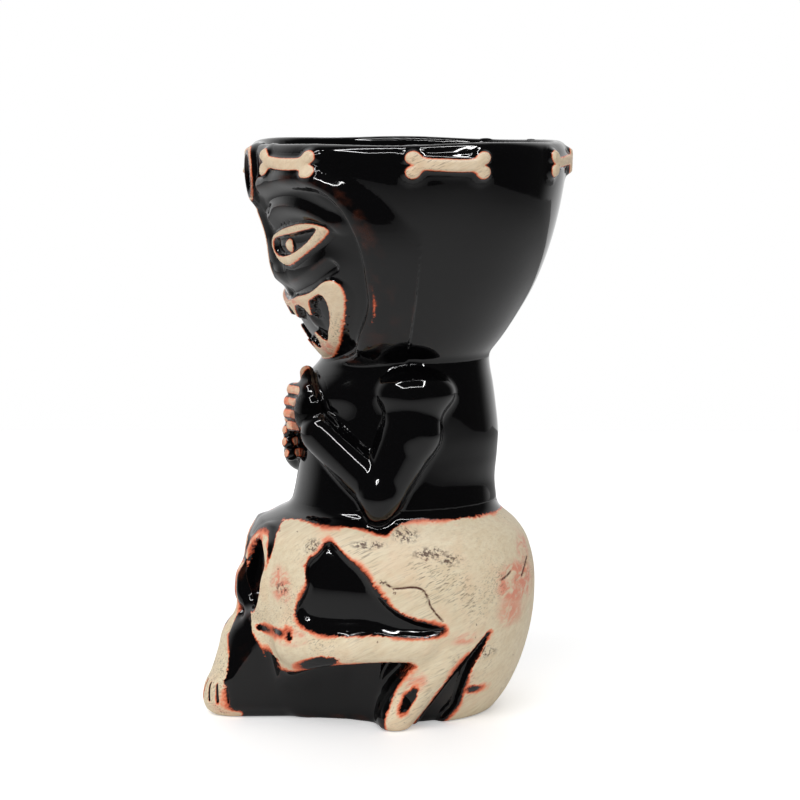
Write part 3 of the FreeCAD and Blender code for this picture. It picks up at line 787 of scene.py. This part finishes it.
def surface_net(field, low, high, size):
    """Vertices and quads of field = 0, one vertex in each grid cell that it passes through."""
    low = np.array(low, float)
    values = sample(field, low, np.array(high, float), size)
    solid = values < 0
    shape = np.array(values.shape) - 1
    count = np.zeros(shape, np.int8)
    for dx, dy, dz in CORNERS:
        count += solid[dx:dx + shape[0], dy:dy + shape[1], dz:dz + shape[2]]
    cells = np.argwhere((count > 0) & (count < 8))
    number = np.full(shape, -1, np.int64)
    number[tuple(cells.T)] = np.arange(len(cells))
    corner = [values[tuple((cells + offset).T)] for offset in CORNERS]
    total = np.zeros((len(cells), 3))
    hits = np.zeros(len(cells))
    for first, second in EDGES:
        a = corner[first]
        b = corner[second]
        change = (a < 0) != (b < 0)
        ratio = np.where(change, a / np.where(change, a - b, 1.0), 0.0)
        start = np.array(CORNERS[first])
        way = np.array(CORNERS[second]) - start
        total += np.where(change[:, None], start + ratio[:, None] * way, 0.0)
        hits += change
    vertices = low + size * (cells + total / hits[:, None])
    quads = []
    for axis in range(3):
        other = [(axis + 1) % 3, (axis + 2) % 3]
        window = [slice(1, -1)] * 3
        ahead = [slice(1, -1)] * 3
        window[axis] = slice(0, -1)
        ahead[axis] = slice(1, None)
        a = solid[tuple(window)]
        b = solid[tuple(ahead)]
        for inward, mask in ((False, a & ~b), (True, ~a & b)):
            place = np.argwhere(mask)
            for across in other:
                place[:, across] += 1
            ring = []
            for du, dv in ((0, 0), (-1, 0), (-1, -1), (0, -1)):
                cell = place.copy()
                cell[:, other[0]] += du
                cell[:, other[1]] += dv
                ring.append(number[tuple(cell.T)])
            ring = np.stack(ring, 1)
            quads.append(ring[:, ::-1] if inward else ring)
    return vertices, np.concatenate(quads)


def gradient(field, p, value, reach):
    """The field's slope by small steps forward."""
    shifts = reach * np.eye(3)
    return np.stack([(measure(field, p + shift) - value) / reach for shift in shifts], 1)


def settle(field, vertices, size):
    """Move vertices onto the exact surface, never further than most of a grid step."""
    value = measure(field, vertices)
    slope = gradient(field, vertices, value, 0.1 * size)
    steep = np.maximum((slope ** 2).sum(1), 0.1)
    move = -(value / steep)[:, None] * slope
    painted_falloff = np.linalg.norm(move, axis=1)
    return vertices + move * np.minimum(1.0, 0.75 * size / np.maximum(painted_falloff, 1e-9))[:, None]


def new_object(name, data):
    """An object in the scene."""
    thing = bpy.data.objects.new(name, data)
    bpy.context.scene.collection.objects.link(thing)
    return thing


def sculpt(name, field, low, high, size, slot):
    """Mesh one piece, give it its colour fields, and put it in the frame."""
    vertices, quads = surface_net(field, low, high, size)
    vertices = settle(field, vertices, size)
    mesh = bpy.data.meshes.new(name)
    mesh.vertices.add(len(vertices))
    mesh.vertices.foreach_set("co", (vertices * MM).astype(np.float32).ravel())
    mesh.loops.add(quads.size)
    mesh.loops.foreach_set("vertex_index", quads.astype(np.int32).ravel())
    mesh.polygons.add(len(quads))
    mesh.polygons.foreach_set("loop_start", np.arange(0, quads.size, 4, dtype=np.int32))
    mesh.polygons.foreach_set("use_smooth", np.ones(len(quads), bool))
    mesh.update(calc_edges=True)
    mesh.validate()
    for title, amount in FIELDS.items():
        layer = mesh.attributes.new(title, "FLOAT", "POINT")
        layer.data.foreach_set("value", measure(amount, vertices).astype(np.float32))
    piece = new_object(name, mesh)
    mesh.materials.append(MATERIALS[slot])
    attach(piece, "root")
    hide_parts(name.replace("clay_", ""))


def convexity(p, reach=1.3):
    """How sharply the clay bulges at each point: negative in hollows, 0 on flats, 1 on ridges."""
    total = -4.0 * solid(p)
    for corner in ((1, 1, 1), (1, -1, -1), (-1, 1, -1), (-1, -1, 1)):
        total += solid(p + reach / math.sqrt(3.0) * np.array(corner))
    return np.clip(total / (reach * reach) * 2.4, -1.0, 1.0)


FIELDS = {
    "slip": slip_field, "rub": rub_field, "speck": speck_field, "crack": crack_field,
    "edge": convexity,
}


# ---- which clay belongs to which piece

HEAD_SEAM = WAIST - 0.9
SKULL_SEAM = SEAT + 1.0
# Past its borders a piece dips by SINK over SINK_WIDTH and ends after OVERLAP or LAP.
SINK = 0.8
SINK_WIDTH = 1.6
OVERLAP = 1.1
LAP = 2.0
# x, half width, lowest and highest z
FANGS = ((5.3, 1.7, 116.6, 121.6), (15.0, 1.9, 118.0, 123.4), (11.2, 1.7, 110.4, 115.6))


def region_mask(p):
    return face_inside(p, MASK) + 2.9


def region_eye(p, side):
    return np.minimum(face_inside(p, EYE) + 0.9, p[:, 0] * side)


def region_nose(p):
    z = p[:, 2]
    half = 3.0 + 4.6 * step(150.0, 130.0, z)
    return in_front(p, least(half - np.abs(p[:, 0]), z - 125.2, 152.5 - z))


def region_lips(p):
    return face_inside(p, MOUTH) + 1.1


def region_fangs(p):
    """The teeth that stand over the open mouth."""
    x = np.abs(p[:, 0])
    z = p[:, 2]
    fangs = [least(half - np.abs(x - u), z - low, high - z) for u, half, low, high in FANGS]
    return in_front(p, reduce(np.maximum, fangs))


def region_boss(p):
    return boss_inside(p) + 1.2


def region_bone(p, angle):
    return bone_inside(p, angle) + 1.2


def region_arm(p, side):
    return 0.7 * (torso_form(p) - arm_form(p, side))


def region_hand(p, side):
    rest = least(torso_form(p), arm_form(p, 1), arm_form(p, -1), hand_form(p, -side))
    return 0.7 * (rest - hand_form(p, side))


def region_jaw(p):
    return np.minimum(26.0 - p[:, 2], -46.0 - p[:, 1])


def region_teeth(p):
    return np.minimum(10.6 - p[:, 2], -50.0 - p[:, 1])


def region_socket(p, side):
    ring = 3.4 - np.abs(socket_inside(p) + 0.6)
    return least(ring, -38.0 - p[:, 1], p[:, 0] * side - 2.4)


def region_nasal(p):
    x, y, z = p.T
    return least(2.4 - np.abs(x), z - 27.0, 48.0 - z, -45.0 - y)


def region_cheek(p, side):
    x, y, z = p.T
    arch = 5.2 - np.abs(z - 24.8) - 0.05 * np.abs(y + 22.0)
    return least(arch, x * side - 14.0, y + 42.0, 4.0 - y)


def region_strut(p, side):
    x, y, z = p.T
    lean = y + 9.5 - 0.42 * (z - 6.0)
    return least(18.6 - z, 8.0 - np.abs(lean), x * side - 18.0)


GLAZE = "black_glaze"
SLIP = "bone_slip"
Part = namedtuple("Part", "slot low high cell")
Patch = namedtuple("Patch", "on region depth slot low high cell", defaults=[0.5])

PARTS = {
    "head_bowl": Part(GLAZE, (-52, -52, 100), (52, 52, 173), 0.75),
    "torso": Part(GLAZE, (-38, -44, 58), (38, 34, 109), 0.65),
    "skull": Part(SLIP, (-42, -64, -2), (42, 42, 67), 0.6),
}
PATCHES = {
    "face_mask": Patch("head_bowl", region_mask, 1.9, GLAZE, (-44, -54, 98), (44, -4, 165)),
    "nose": Patch("face_mask", region_nose, 1.6, GLAZE, (-10, -54, 122), (10, -34, 156)),
    "lips": Patch("face_mask", region_lips, 1.6, SLIP, (-32, -52, 101), (32, -18, 134)),
    "fangs": Patch("lips", region_fangs, 1.2, SLIP, (-20, -50, 105), (20, -22, 126)),
    "forehead_boss": Patch("head_bowl", region_boss, 2.2, SLIP, (-9, -54, 147), (9, -42, 170)),
    "upper_jaw": Patch("skull", region_jaw, 3.0, SLIP, (-22, -66, -2), (22, -42, 30)),
    "upper_teeth": Patch(
        "upper_jaw", region_teeth, 1.8, SLIP, (-16, -66, -2), (16, -46, 14), 0.36),
    "nasal_bone": Patch("skull", region_nasal, 2.2, GLAZE, (-6, -56, 24), (6, -42, 51)),
}
LEFT_PATCHES = {
    "eye": Patch("face_mask", region_eye, 1.6, SLIP, (2, -52, 129), (36, -26, 150)),
    "arm": Patch("torso", region_arm, 3.4, GLAZE, (0, -42, 50), (40, 22, 108)),
    "hand": Patch("torso", region_hand, 3.0, SLIP, (-4, -44, 68), (22, -20, 107)),
    "socket_rim": Patch("skull", region_socket, 2.2, SLIP, (0, -58, 26), (26, -34, 60)),
    "cheekbone": Patch("skull", region_cheek, 2.6, SLIP, (10, -46, 14), (44, 8, 36)),
    "jaw_strut": Patch("skull", region_strut, 2.6, SLIP, (14, -24, -2), (44, 12, 22)),
}
for word, side in (("left", 1), ("right", -1)):
    for title, patch in LEFT_PATCHES.items():
        first, last = sorted((patch.low[0] * side, patch.high[0] * side))
        PATCHES[f"{word}_{title}"] = patch._replace(
            region=partial(patch.region, side=side),
            low=(first, *patch.low[1:]), high=(last, *patch.high[1:]))
for word, degrees in BONE_ANGLES.items():
    angle = math.radians(degrees)
    centre = np.array([math.sin(angle) * 47, -math.cos(angle) * 47])
    PATCHES["rim_bone_" + word] = Patch(
        "head_bowl", partial(region_bone, angle=degrees), 1.8, SLIP,
        (*(centre - 17), 154), (*(centre + 17), 171))


def sink(distance):
    """How far a piece dips under its neighbour past their shared border."""
    return SINK * step(0.0, SINK_WIDTH, distance)


def dips(name, p):
    """The dips in a piece under the patches that lie on it."""
    total = np.zeros(len(p))
    for patch in PATCHES.values():
        if patch.on == name:
            near = np.all((p > patch.low) & (p < patch.high), axis=1)
            if near.any():
                total[near] = np.maximum(total[near], sink(patch.region(p[near])))
    return total


def patch_field(name):
    """The field of a piece that lies on another as a thick patch of clay."""
    patch = PATCHES[name]

    def field(p):
        distance = patch.region(p)
        surface = solid(p)
        result = surface + sink(-distance) + dips(name, p)
        result = meet(result, -OVERLAP - distance, 0.3)
        if patch.on == "head_bowl":
            inner_wall = bowl_radius(p[:, 2]) - WALL + 1.0
            result = np.maximum(result, inner_wall - np.hypot(p[:, 0], p[:, 1]))
        return meet(result, -(surface + patch.depth), 0.3)
    return field


def part_field(name):
    """The field of one hollow body of the vessel, between its seams."""
    def field(p):
        z = p[:, 2]
        result = solid(p) + dips(name, p)
        if name == "head_bowl":
            result = result + sink(HEAD_SEAM - z)
            limit = HEAD_SEAM - LAP - z
        elif name == "torso":
            result = result + sink(z - HEAD_SEAM) + sink(SKULL_SEAM - z)
            limit = np.maximum(z - HEAD_SEAM - LAP, SKULL_SEAM - LAP - z)
        else:
            result = result + sink(z - SKULL_SEAM)
            limit = z - SKULL_SEAM - LAP
        result = meet(result, -cavity(p), 3.0)
        return meet(result, limit, 0.4)
    return field


# ---- the glaze and the slip

class Nodes:
    """Short ways to add shader nodes to a material or a world."""

    def __init__(self, owner):
        owner.use_nodes = True
        self.tree = owner.node_tree
        self.tree.nodes.clear()

    def add(self, kind, **settings):
        node = self.tree.nodes.new(kind)
        for key, value in settings.items():
            setattr(node, key, value)
        return node

    def join(self, source, socket):
        if isinstance(source, (int, float, tuple)):
            socket.default_value = source
        else:
            self.tree.links.new(source, socket)

    def attribute(self, name):
        return self.add("ShaderNodeAttribute", attribute_name=name).outputs["Fac"]

    def math(self, operation, a, b=0.0, c=0.0):
        node = self.add("ShaderNodeMath", operation=operation)
        for index, value in enumerate((a, b, c)):
            self.join(value, node.inputs[index])
        return node.outputs[0]

    def times(self, a, b):
        return self.math("MULTIPLY", a, b)

    def swing(self, value, width):
        """A noise turned into a shift of up to half the width either way."""
        return self.math("MULTIPLY_ADD", value, width, -width / 2)

    def fill(self, node, sources):
        for title, source in sources.items():
            self.join(source, node.inputs[title])
        return node

    def noise(self, where, scale, detail=3.0, rough=0.55, distortion=0.0):
        return self.fill(self.add("ShaderNodeTexNoise"), {
            "Vector": where, "Scale": scale, "Detail": detail, "Roughness": rough,
            "Distortion": distortion}).outputs["Fac"]

    def rise(self, value, low, high, out_low=0.0, out_high=1.0):
        node = self.add("ShaderNodeMapRange", interpolation_type="SMOOTHSTEP")
        return self.fill(node, {
            "Value": value, "From Min": low, "From Max": high, "To Min": out_low,
            "To Max": out_high}).outputs["Result"]

    def surface(self, sources):
        """A Principled shader on the output, with what its sockets get."""
        shader = self.fill(self.add("ShaderNodeBsdfPrincipled"), sources)
        output = self.add("ShaderNodeOutputMaterial")
        self.join(shader.outputs["BSDF"], output.inputs["Surface"])

    def mix(self, factor, a, b):
        """A mix of two colours, each from a node or as three numbers."""
        node = self.add("ShaderNodeMix", data_type="RGBA")
        self.join(factor, node.inputs[0])
        for colour, socket in ((a, node.inputs[6]), (b, node.inputs[7])):
            self.join((*colour, 1.0) if isinstance(colour, tuple) else colour, socket)
        return node.outputs[2]

    def ramp(self, value, stops):
        node = self.add("ShaderNodeValToRGB")
        ramp = node.color_ramp
        while len(ramp.elements) < len(stops):
            ramp.elements.new(0.5)
        for element, (position, colour) in zip(ramp.elements, stops):
            element.position = position
            element.color = (*colour, 1.0)
        self.join(value, node.inputs["Fac"])
        return node.outputs["Color"]

    def stretched(self, where, turn, scale):
        node = self.add("ShaderNodeMapping", vector_type="TEXTURE")
        return self.fill(node, {
            "Vector": where, "Rotation": turn, "Scale": scale}).outputs["Vector"]


BLACK = (0.0016, 0.0015, 0.0018)
BROWN = (0.045, 0.012, 0.006)
RUST = (0.50, 0.075, 0.022)
CORAL = (0.84, 0.24, 0.12)
PEACH = (0.84, 0.50, 0.31)
CREAM = (0.73, 0.595, 0.40)
PALE = (0.82, 0.715, 0.52)
PINK = (0.78, 0.29, 0.19)
UMBER = (0.085, 0.032, 0.016)
SPOT_BROWN = (0.16, 0.06, 0.03)
CRACK_BROWN = (0.09, 0.022, 0.012)
SKULL_TOP = (0.061, 0.066)


def glazed_clay(name):
    """Black gloss glaze that gives way to brushed bone slip where the slip field says so."""
    material = bpy.data.materials.new(name)
    nodes = Nodes(material)
    where = nodes.add("ShaderNodeTexCoord").outputs["Object"]
    slip, rub, speck, crack, edge = [nodes.attribute(field) for field in FIELDS]
    split = nodes.add("ShaderNodeSeparateXYZ")
    nodes.join(where, split.inputs[0])
    above = split.outputs["Z"]
    loose = nodes.rise(above, *SKULL_TOP, 1.0, 0.26)

    brushed = nodes.stretched(where, (math.radians(27.0), 0.0, 0.0), (1.0, 5.0, 1.0))
    scratched = nodes.stretched(where, (math.radians(24.0), 0.0, 0.0), (1.0, 14.0, 1.0))
    varied = nodes.rise(nodes.noise(where, 95.0, 2.0, 0.5), 0.36, 0.64, 0.25, 1.0)
    ragged = nodes.times(nodes.swing(nodes.noise(brushed, 1300.0, 4.0, 0.7), 2.4), varied)
    frayed = nodes.swing(nodes.noise(where, 900.0, 2.0, 0.6), 0.7)
    ragged = nodes.math("ADD", ragged, frayed)
    wander = nodes.swing(nodes.noise(where, 240.0, 2.0), 0.8)
    border = nodes.math("ADD", slip, nodes.times(nodes.math("ADD", ragged, wander), loose))

    streak = nodes.noise(brushed, 700.0, 4.0, 0.62, 0.3)
    patch = nodes.noise(where, 75.0, 3.0, 0.55, 0.6)
    grain = nodes.noise(where, 1500.0, 2.0, 0.6)

    cream = nodes.mix(nodes.rise(streak, 0.24, 0.74), CREAM, PALE)
    warm = nodes.times(nodes.rise(patch, 0.44, 0.70), 0.22)
    warm = nodes.math("ADD", warm, nodes.rise(above, *SKULL_TOP, 0.0, 0.18))
    cream = nodes.mix(warm, cream, PEACH)
    wiped = nodes.rise(nodes.noise(brushed, 420.0, 4.0, 0.65, 0.8), 0.38, 0.60)
    wiped = nodes.math("MULTIPLY_ADD", wiped, 0.85, 0.10)
    cream = nodes.mix(nodes.times(nodes.rise(rub, 0.0, 0.60), wiped), cream, PINK)
    lines = nodes.rise(nodes.noise(scratched, 2600.0, 3.0, 0.6, 0.2), 0.52, 0.64)
    gather = nodes.rise(nodes.noise(where, 60.0, 2.0, 0.5), 0.42, 0.66, 0.16, 1.0)
    cream = nodes.mix(nodes.times(nodes.times(lines, gather), 0.60), cream, UMBER)
    dots = nodes.rise(nodes.noise(where, 780.0, 4.0, 0.75), 0.48, 0.56)
    dots = nodes.times(dots, nodes.rise(speck, 0.05, 0.8))
    cream = nodes.mix(nodes.times(dots, 0.92), cream, UMBER)
    stray = nodes.rise(nodes.noise(where, 520.0, 2.0, 0.5), 0.73, 0.76)
    cream = nodes.mix(nodes.times(stray, 0.7), cream, SPOT_BROWN)
    carved = nodes.math("ADD", crack, nodes.swing(nodes.noise(where, 1400.0), 0.3))
    cream = nodes.mix(nodes.rise(carved, 0.12, 0.50, 1.0, 0.0), cream, CRACK_BROWN)

    fringe_width = nodes.rise(nodes.noise(where, 120.0, 2.0), 0.34, 0.70, 0.25, 1.9)
    fringe_width = nodes.math("MAXIMUM", nodes.times(fringe_width, loose), 0.26)
    fringe = nodes.math("DIVIDE", border, fringe_width)
    stops = ((0.0, BROWN), (0.25, RUST), (0.55, CORAL), (1.0, PEACH))
    cream = nodes.mix(nodes.rise(fringe, 0.55, 1.35), nodes.ramp(fringe, stops), cream)

    worn = nodes.rise(nodes.noise(where, 160.0, 3.0), 0.45, 0.65)
    thin = nodes.times(nodes.rise(edge, 0.42, 0.95), worn)
    glaze = nodes.mix(nodes.times(thin, 0.55), BLACK, BROWN)

    matt = nodes.rise(border, -0.2, 0.5)
    slip_rough = nodes.math("MULTIPLY_ADD", streak, 0.25, 0.34)
    wavy = nodes.noise(where, 55.0, 2.0, 0.5)
    fine = nodes.times(nodes.math("ADD", grain, nodes.times(streak, 0.6)), matt)
    height = nodes.math("ADD", nodes.times(wavy, 0.35), nodes.times(fine, 0.10))
    relief = nodes.fill(nodes.add("ShaderNodeBump"), {
        "Strength": 0.35, "Distance": 0.001, "Height": height})

    nodes.surface({
        "Base Color": nodes.mix(nodes.rise(border, -0.10, 0.10), glaze, cream),
        "Roughness": nodes.math("ADD", nodes.times(matt, slip_rough), 0.055),
        "Normal": relief.outputs["Normal"],
        "IOR": 1.43})
    return material


MATERIALS = {slot: glazed_clay(slot) for slot in (GLAZE, SLIP)}

for title, part in PARTS.items():
    sculpt("clay_" + title, part_field(title), part.low, part.high, part.cell, part.slot)
for title, patch in PATCHES.items():
    sculpt("clay_" + title, patch_field(title), patch.low, patch.high, patch.cell, patch.slot)


# ---- floor, lights, camera

FLOOR_HALF = 0.60
FLOOR_TURN = -13.0
FLOOR_NEAR = 0.12
FLOOR_FAR = 0.62
FLOOR_GLOW = 0.34
SUN_PLACE = (0.75, -0.40, 0.80)
SUN_SPREAD = 60.0
SUN_STRENGTH = 1.85
STRIPS_CENTRE = (0.22, -0.08, 0.46)
STRIPS_LENGTH = 0.44
STRIPS_WIDTH = 0.28
STRIP_THICKNESS = 0.016
STRIP_POWER = 0.95
ROOM_DIM = 0.05
ROOM_FILL = 0.26
CAMERA_AZIMUTH = 77.0
CAMERA_DISTANCE = 0.780
CAMERA_HEIGHT = 0.1895
CAMERA_TARGET = (-0.0005, -0.0023, 0.0920)
CAMERA_LENS = 118.8
CAMERA_SENSOR = 36.0


def add_floor():
    """A plain pale table top, square to the camera, with a painted falloff: seen in reflections it
    turns darker further from the mug.
    """
    turn = math.radians(FLOOR_TURN)
    corners = []
    for along, across in ((-1, -1), (1, -1), (1, 1), (-1, 1)):
        x = FLOOR_HALF * (along * math.cos(turn) - across * math.sin(turn))
        y = FLOOR_HALF * (along * math.sin(turn) + across * math.cos(turn))
        corners.append((x, y, 0.0))
    mesh = bpy.data.meshes.new("floor")
    mesh.from_pydata(corners, [], [(0, 1, 2, 3)])
    material = bpy.data.materials.new("floor")
    nodes = Nodes(material)
    where = nodes.add("ShaderNodeTexCoord").outputs["Object"]
    near = nodes.mix(nodes.noise(where, 4.0), (0.88, 0.88, 0.88), (0.90, 0.90, 0.90))
    reach = nodes.add("ShaderNodeVectorMath", operation="LENGTH")
    nodes.join(where, reach.inputs[0])
    # painted falloff: for glossy rays the floor's colour darkens away from the middle, standing in
    # for light falling off
    painted_falloff = nodes.rise(reach.outputs["Value"], FLOOR_NEAR, FLOOR_FAR)
    ray = nodes.add("ShaderNodeLightPath")
    painted_falloff = nodes.times(painted_falloff, ray.outputs["Is Glossy Ray"])
    nodes.surface({
        "Emission Color": (1.0, 1.0, 1.0, 1.0),
        "Emission Strength": nodes.times(ray.outputs["Is Camera Ray"], FLOOR_GLOW),
        "Base Color": nodes.mix(painted_falloff, near, (0.27, 0.27, 0.27)),
        "Roughness": nodes.math("MULTIPLY_ADD", nodes.noise(where, 30.0), 0.1, 0.5)})
    mesh.materials.append(material)
    floor = new_object("floor", mesh)


def aim(thing, target):
    direction = Vector(target) - thing.location
    thing.rotation_euler = direction.to_track_quat("-Z", "Y").to_euler()


def add_lamp(name, kind, place):
    lamp = bpy.data.lights.new(name, kind)
    thing = new_object(name, lamp)
    thing.location = place
    return thing, lamp


def add_sun():
    """Even light from a wide soft source, kept out of the reflections."""
    thing, lamp = add_lamp("sun", "SUN", SUN_PLACE)
    aim(thing, (0, 0, 0))
    lamp.angle = math.radians(SUN_SPREAD)
    lamp.energy = SUN_STRENGTH
    thing.visible_glossy = False


def add_strips():
    """Four light strips round a rectangle over the mug, as in a small photo tent."""
    x, y, z = STRIPS_CENTRE
    along = STRIPS_LENGTH / 2
    across = STRIPS_WIDTH / 2
    bars = (
        ("strip_front", (x, y - along, z), STRIPS_WIDTH, STRIP_THICKNESS),
        ("strip_back", (x, y + along, z), STRIPS_WIDTH, STRIP_THICKNESS),
        ("strip_near", (x + across, y, z), STRIP_THICKNESS, STRIPS_LENGTH),
        ("strip_far", (x - across, y, z), STRIP_THICKNESS, STRIPS_LENGTH),
    )
    for name, place, size_x, size_y in bars:
        thing, lamp = add_lamp(name, "AREA", place)
        lamp.shape = "RECTANGLE"
        lamp.size = size_x
        lamp.size_y = size_y
        lamp.energy = STRIP_POWER
        thing.visible_diffuse = False


def add_world():
    """White all round to the eye, and a dim room with a bright wall behind for reflections."""
    world = bpy.data.worlds.new("studio")
    nodes = Nodes(world)
    where = nodes.add("ShaderNodeTexCoord").outputs["Generated"]
    split = nodes.add("ShaderNodeSeparateXYZ")
    nodes.join(where, split.inputs[0])
    wall = nodes.rise(split.outputs["X"], -0.15, -0.75, ROOM_DIM, 1.0)
    ray = nodes.add("ShaderNodeLightPath").outputs
    filled = nodes.math("MULTIPLY_ADD", ray["Is Diffuse Ray"], ROOM_FILL, wall)
    shown = nodes.fill(nodes.add("ShaderNodeMix"), {
        "Factor": ray["Is Camera Ray"], "A": filled, "B": 1.0})
    background = nodes.fill(nodes.add("ShaderNodeBackground"), {
        "Color": (1.0, 1.0, 1.0, 1.0), "Strength": shown.outputs["Result"]})
    output = nodes.add("ShaderNodeOutputWorld")
    nodes.join(background.outputs["Background"], output.inputs["Surface"])
    bpy.context.scene.world = world


def add_camera():
    azimuth = math.radians(CAMERA_AZIMUTH)
    camera = bpy.data.cameras.new("camera")
    camera.lens = CAMERA_LENS
    camera.sensor_width = CAMERA_SENSOR
    thing = new_object("camera", camera)
    thing.location = (
        CAMERA_DISTANCE * math.sin(azimuth), -CAMERA_DISTANCE * math.cos(azimuth), CAMERA_HEIGHT)
    aim(thing, CAMERA_TARGET)
    bpy.context.scene.camera = thing


add_floor()
add_sun()
add_strips()
add_world()
add_camera()
bpy.context.scene.view_settings.view_transform = "Standard"
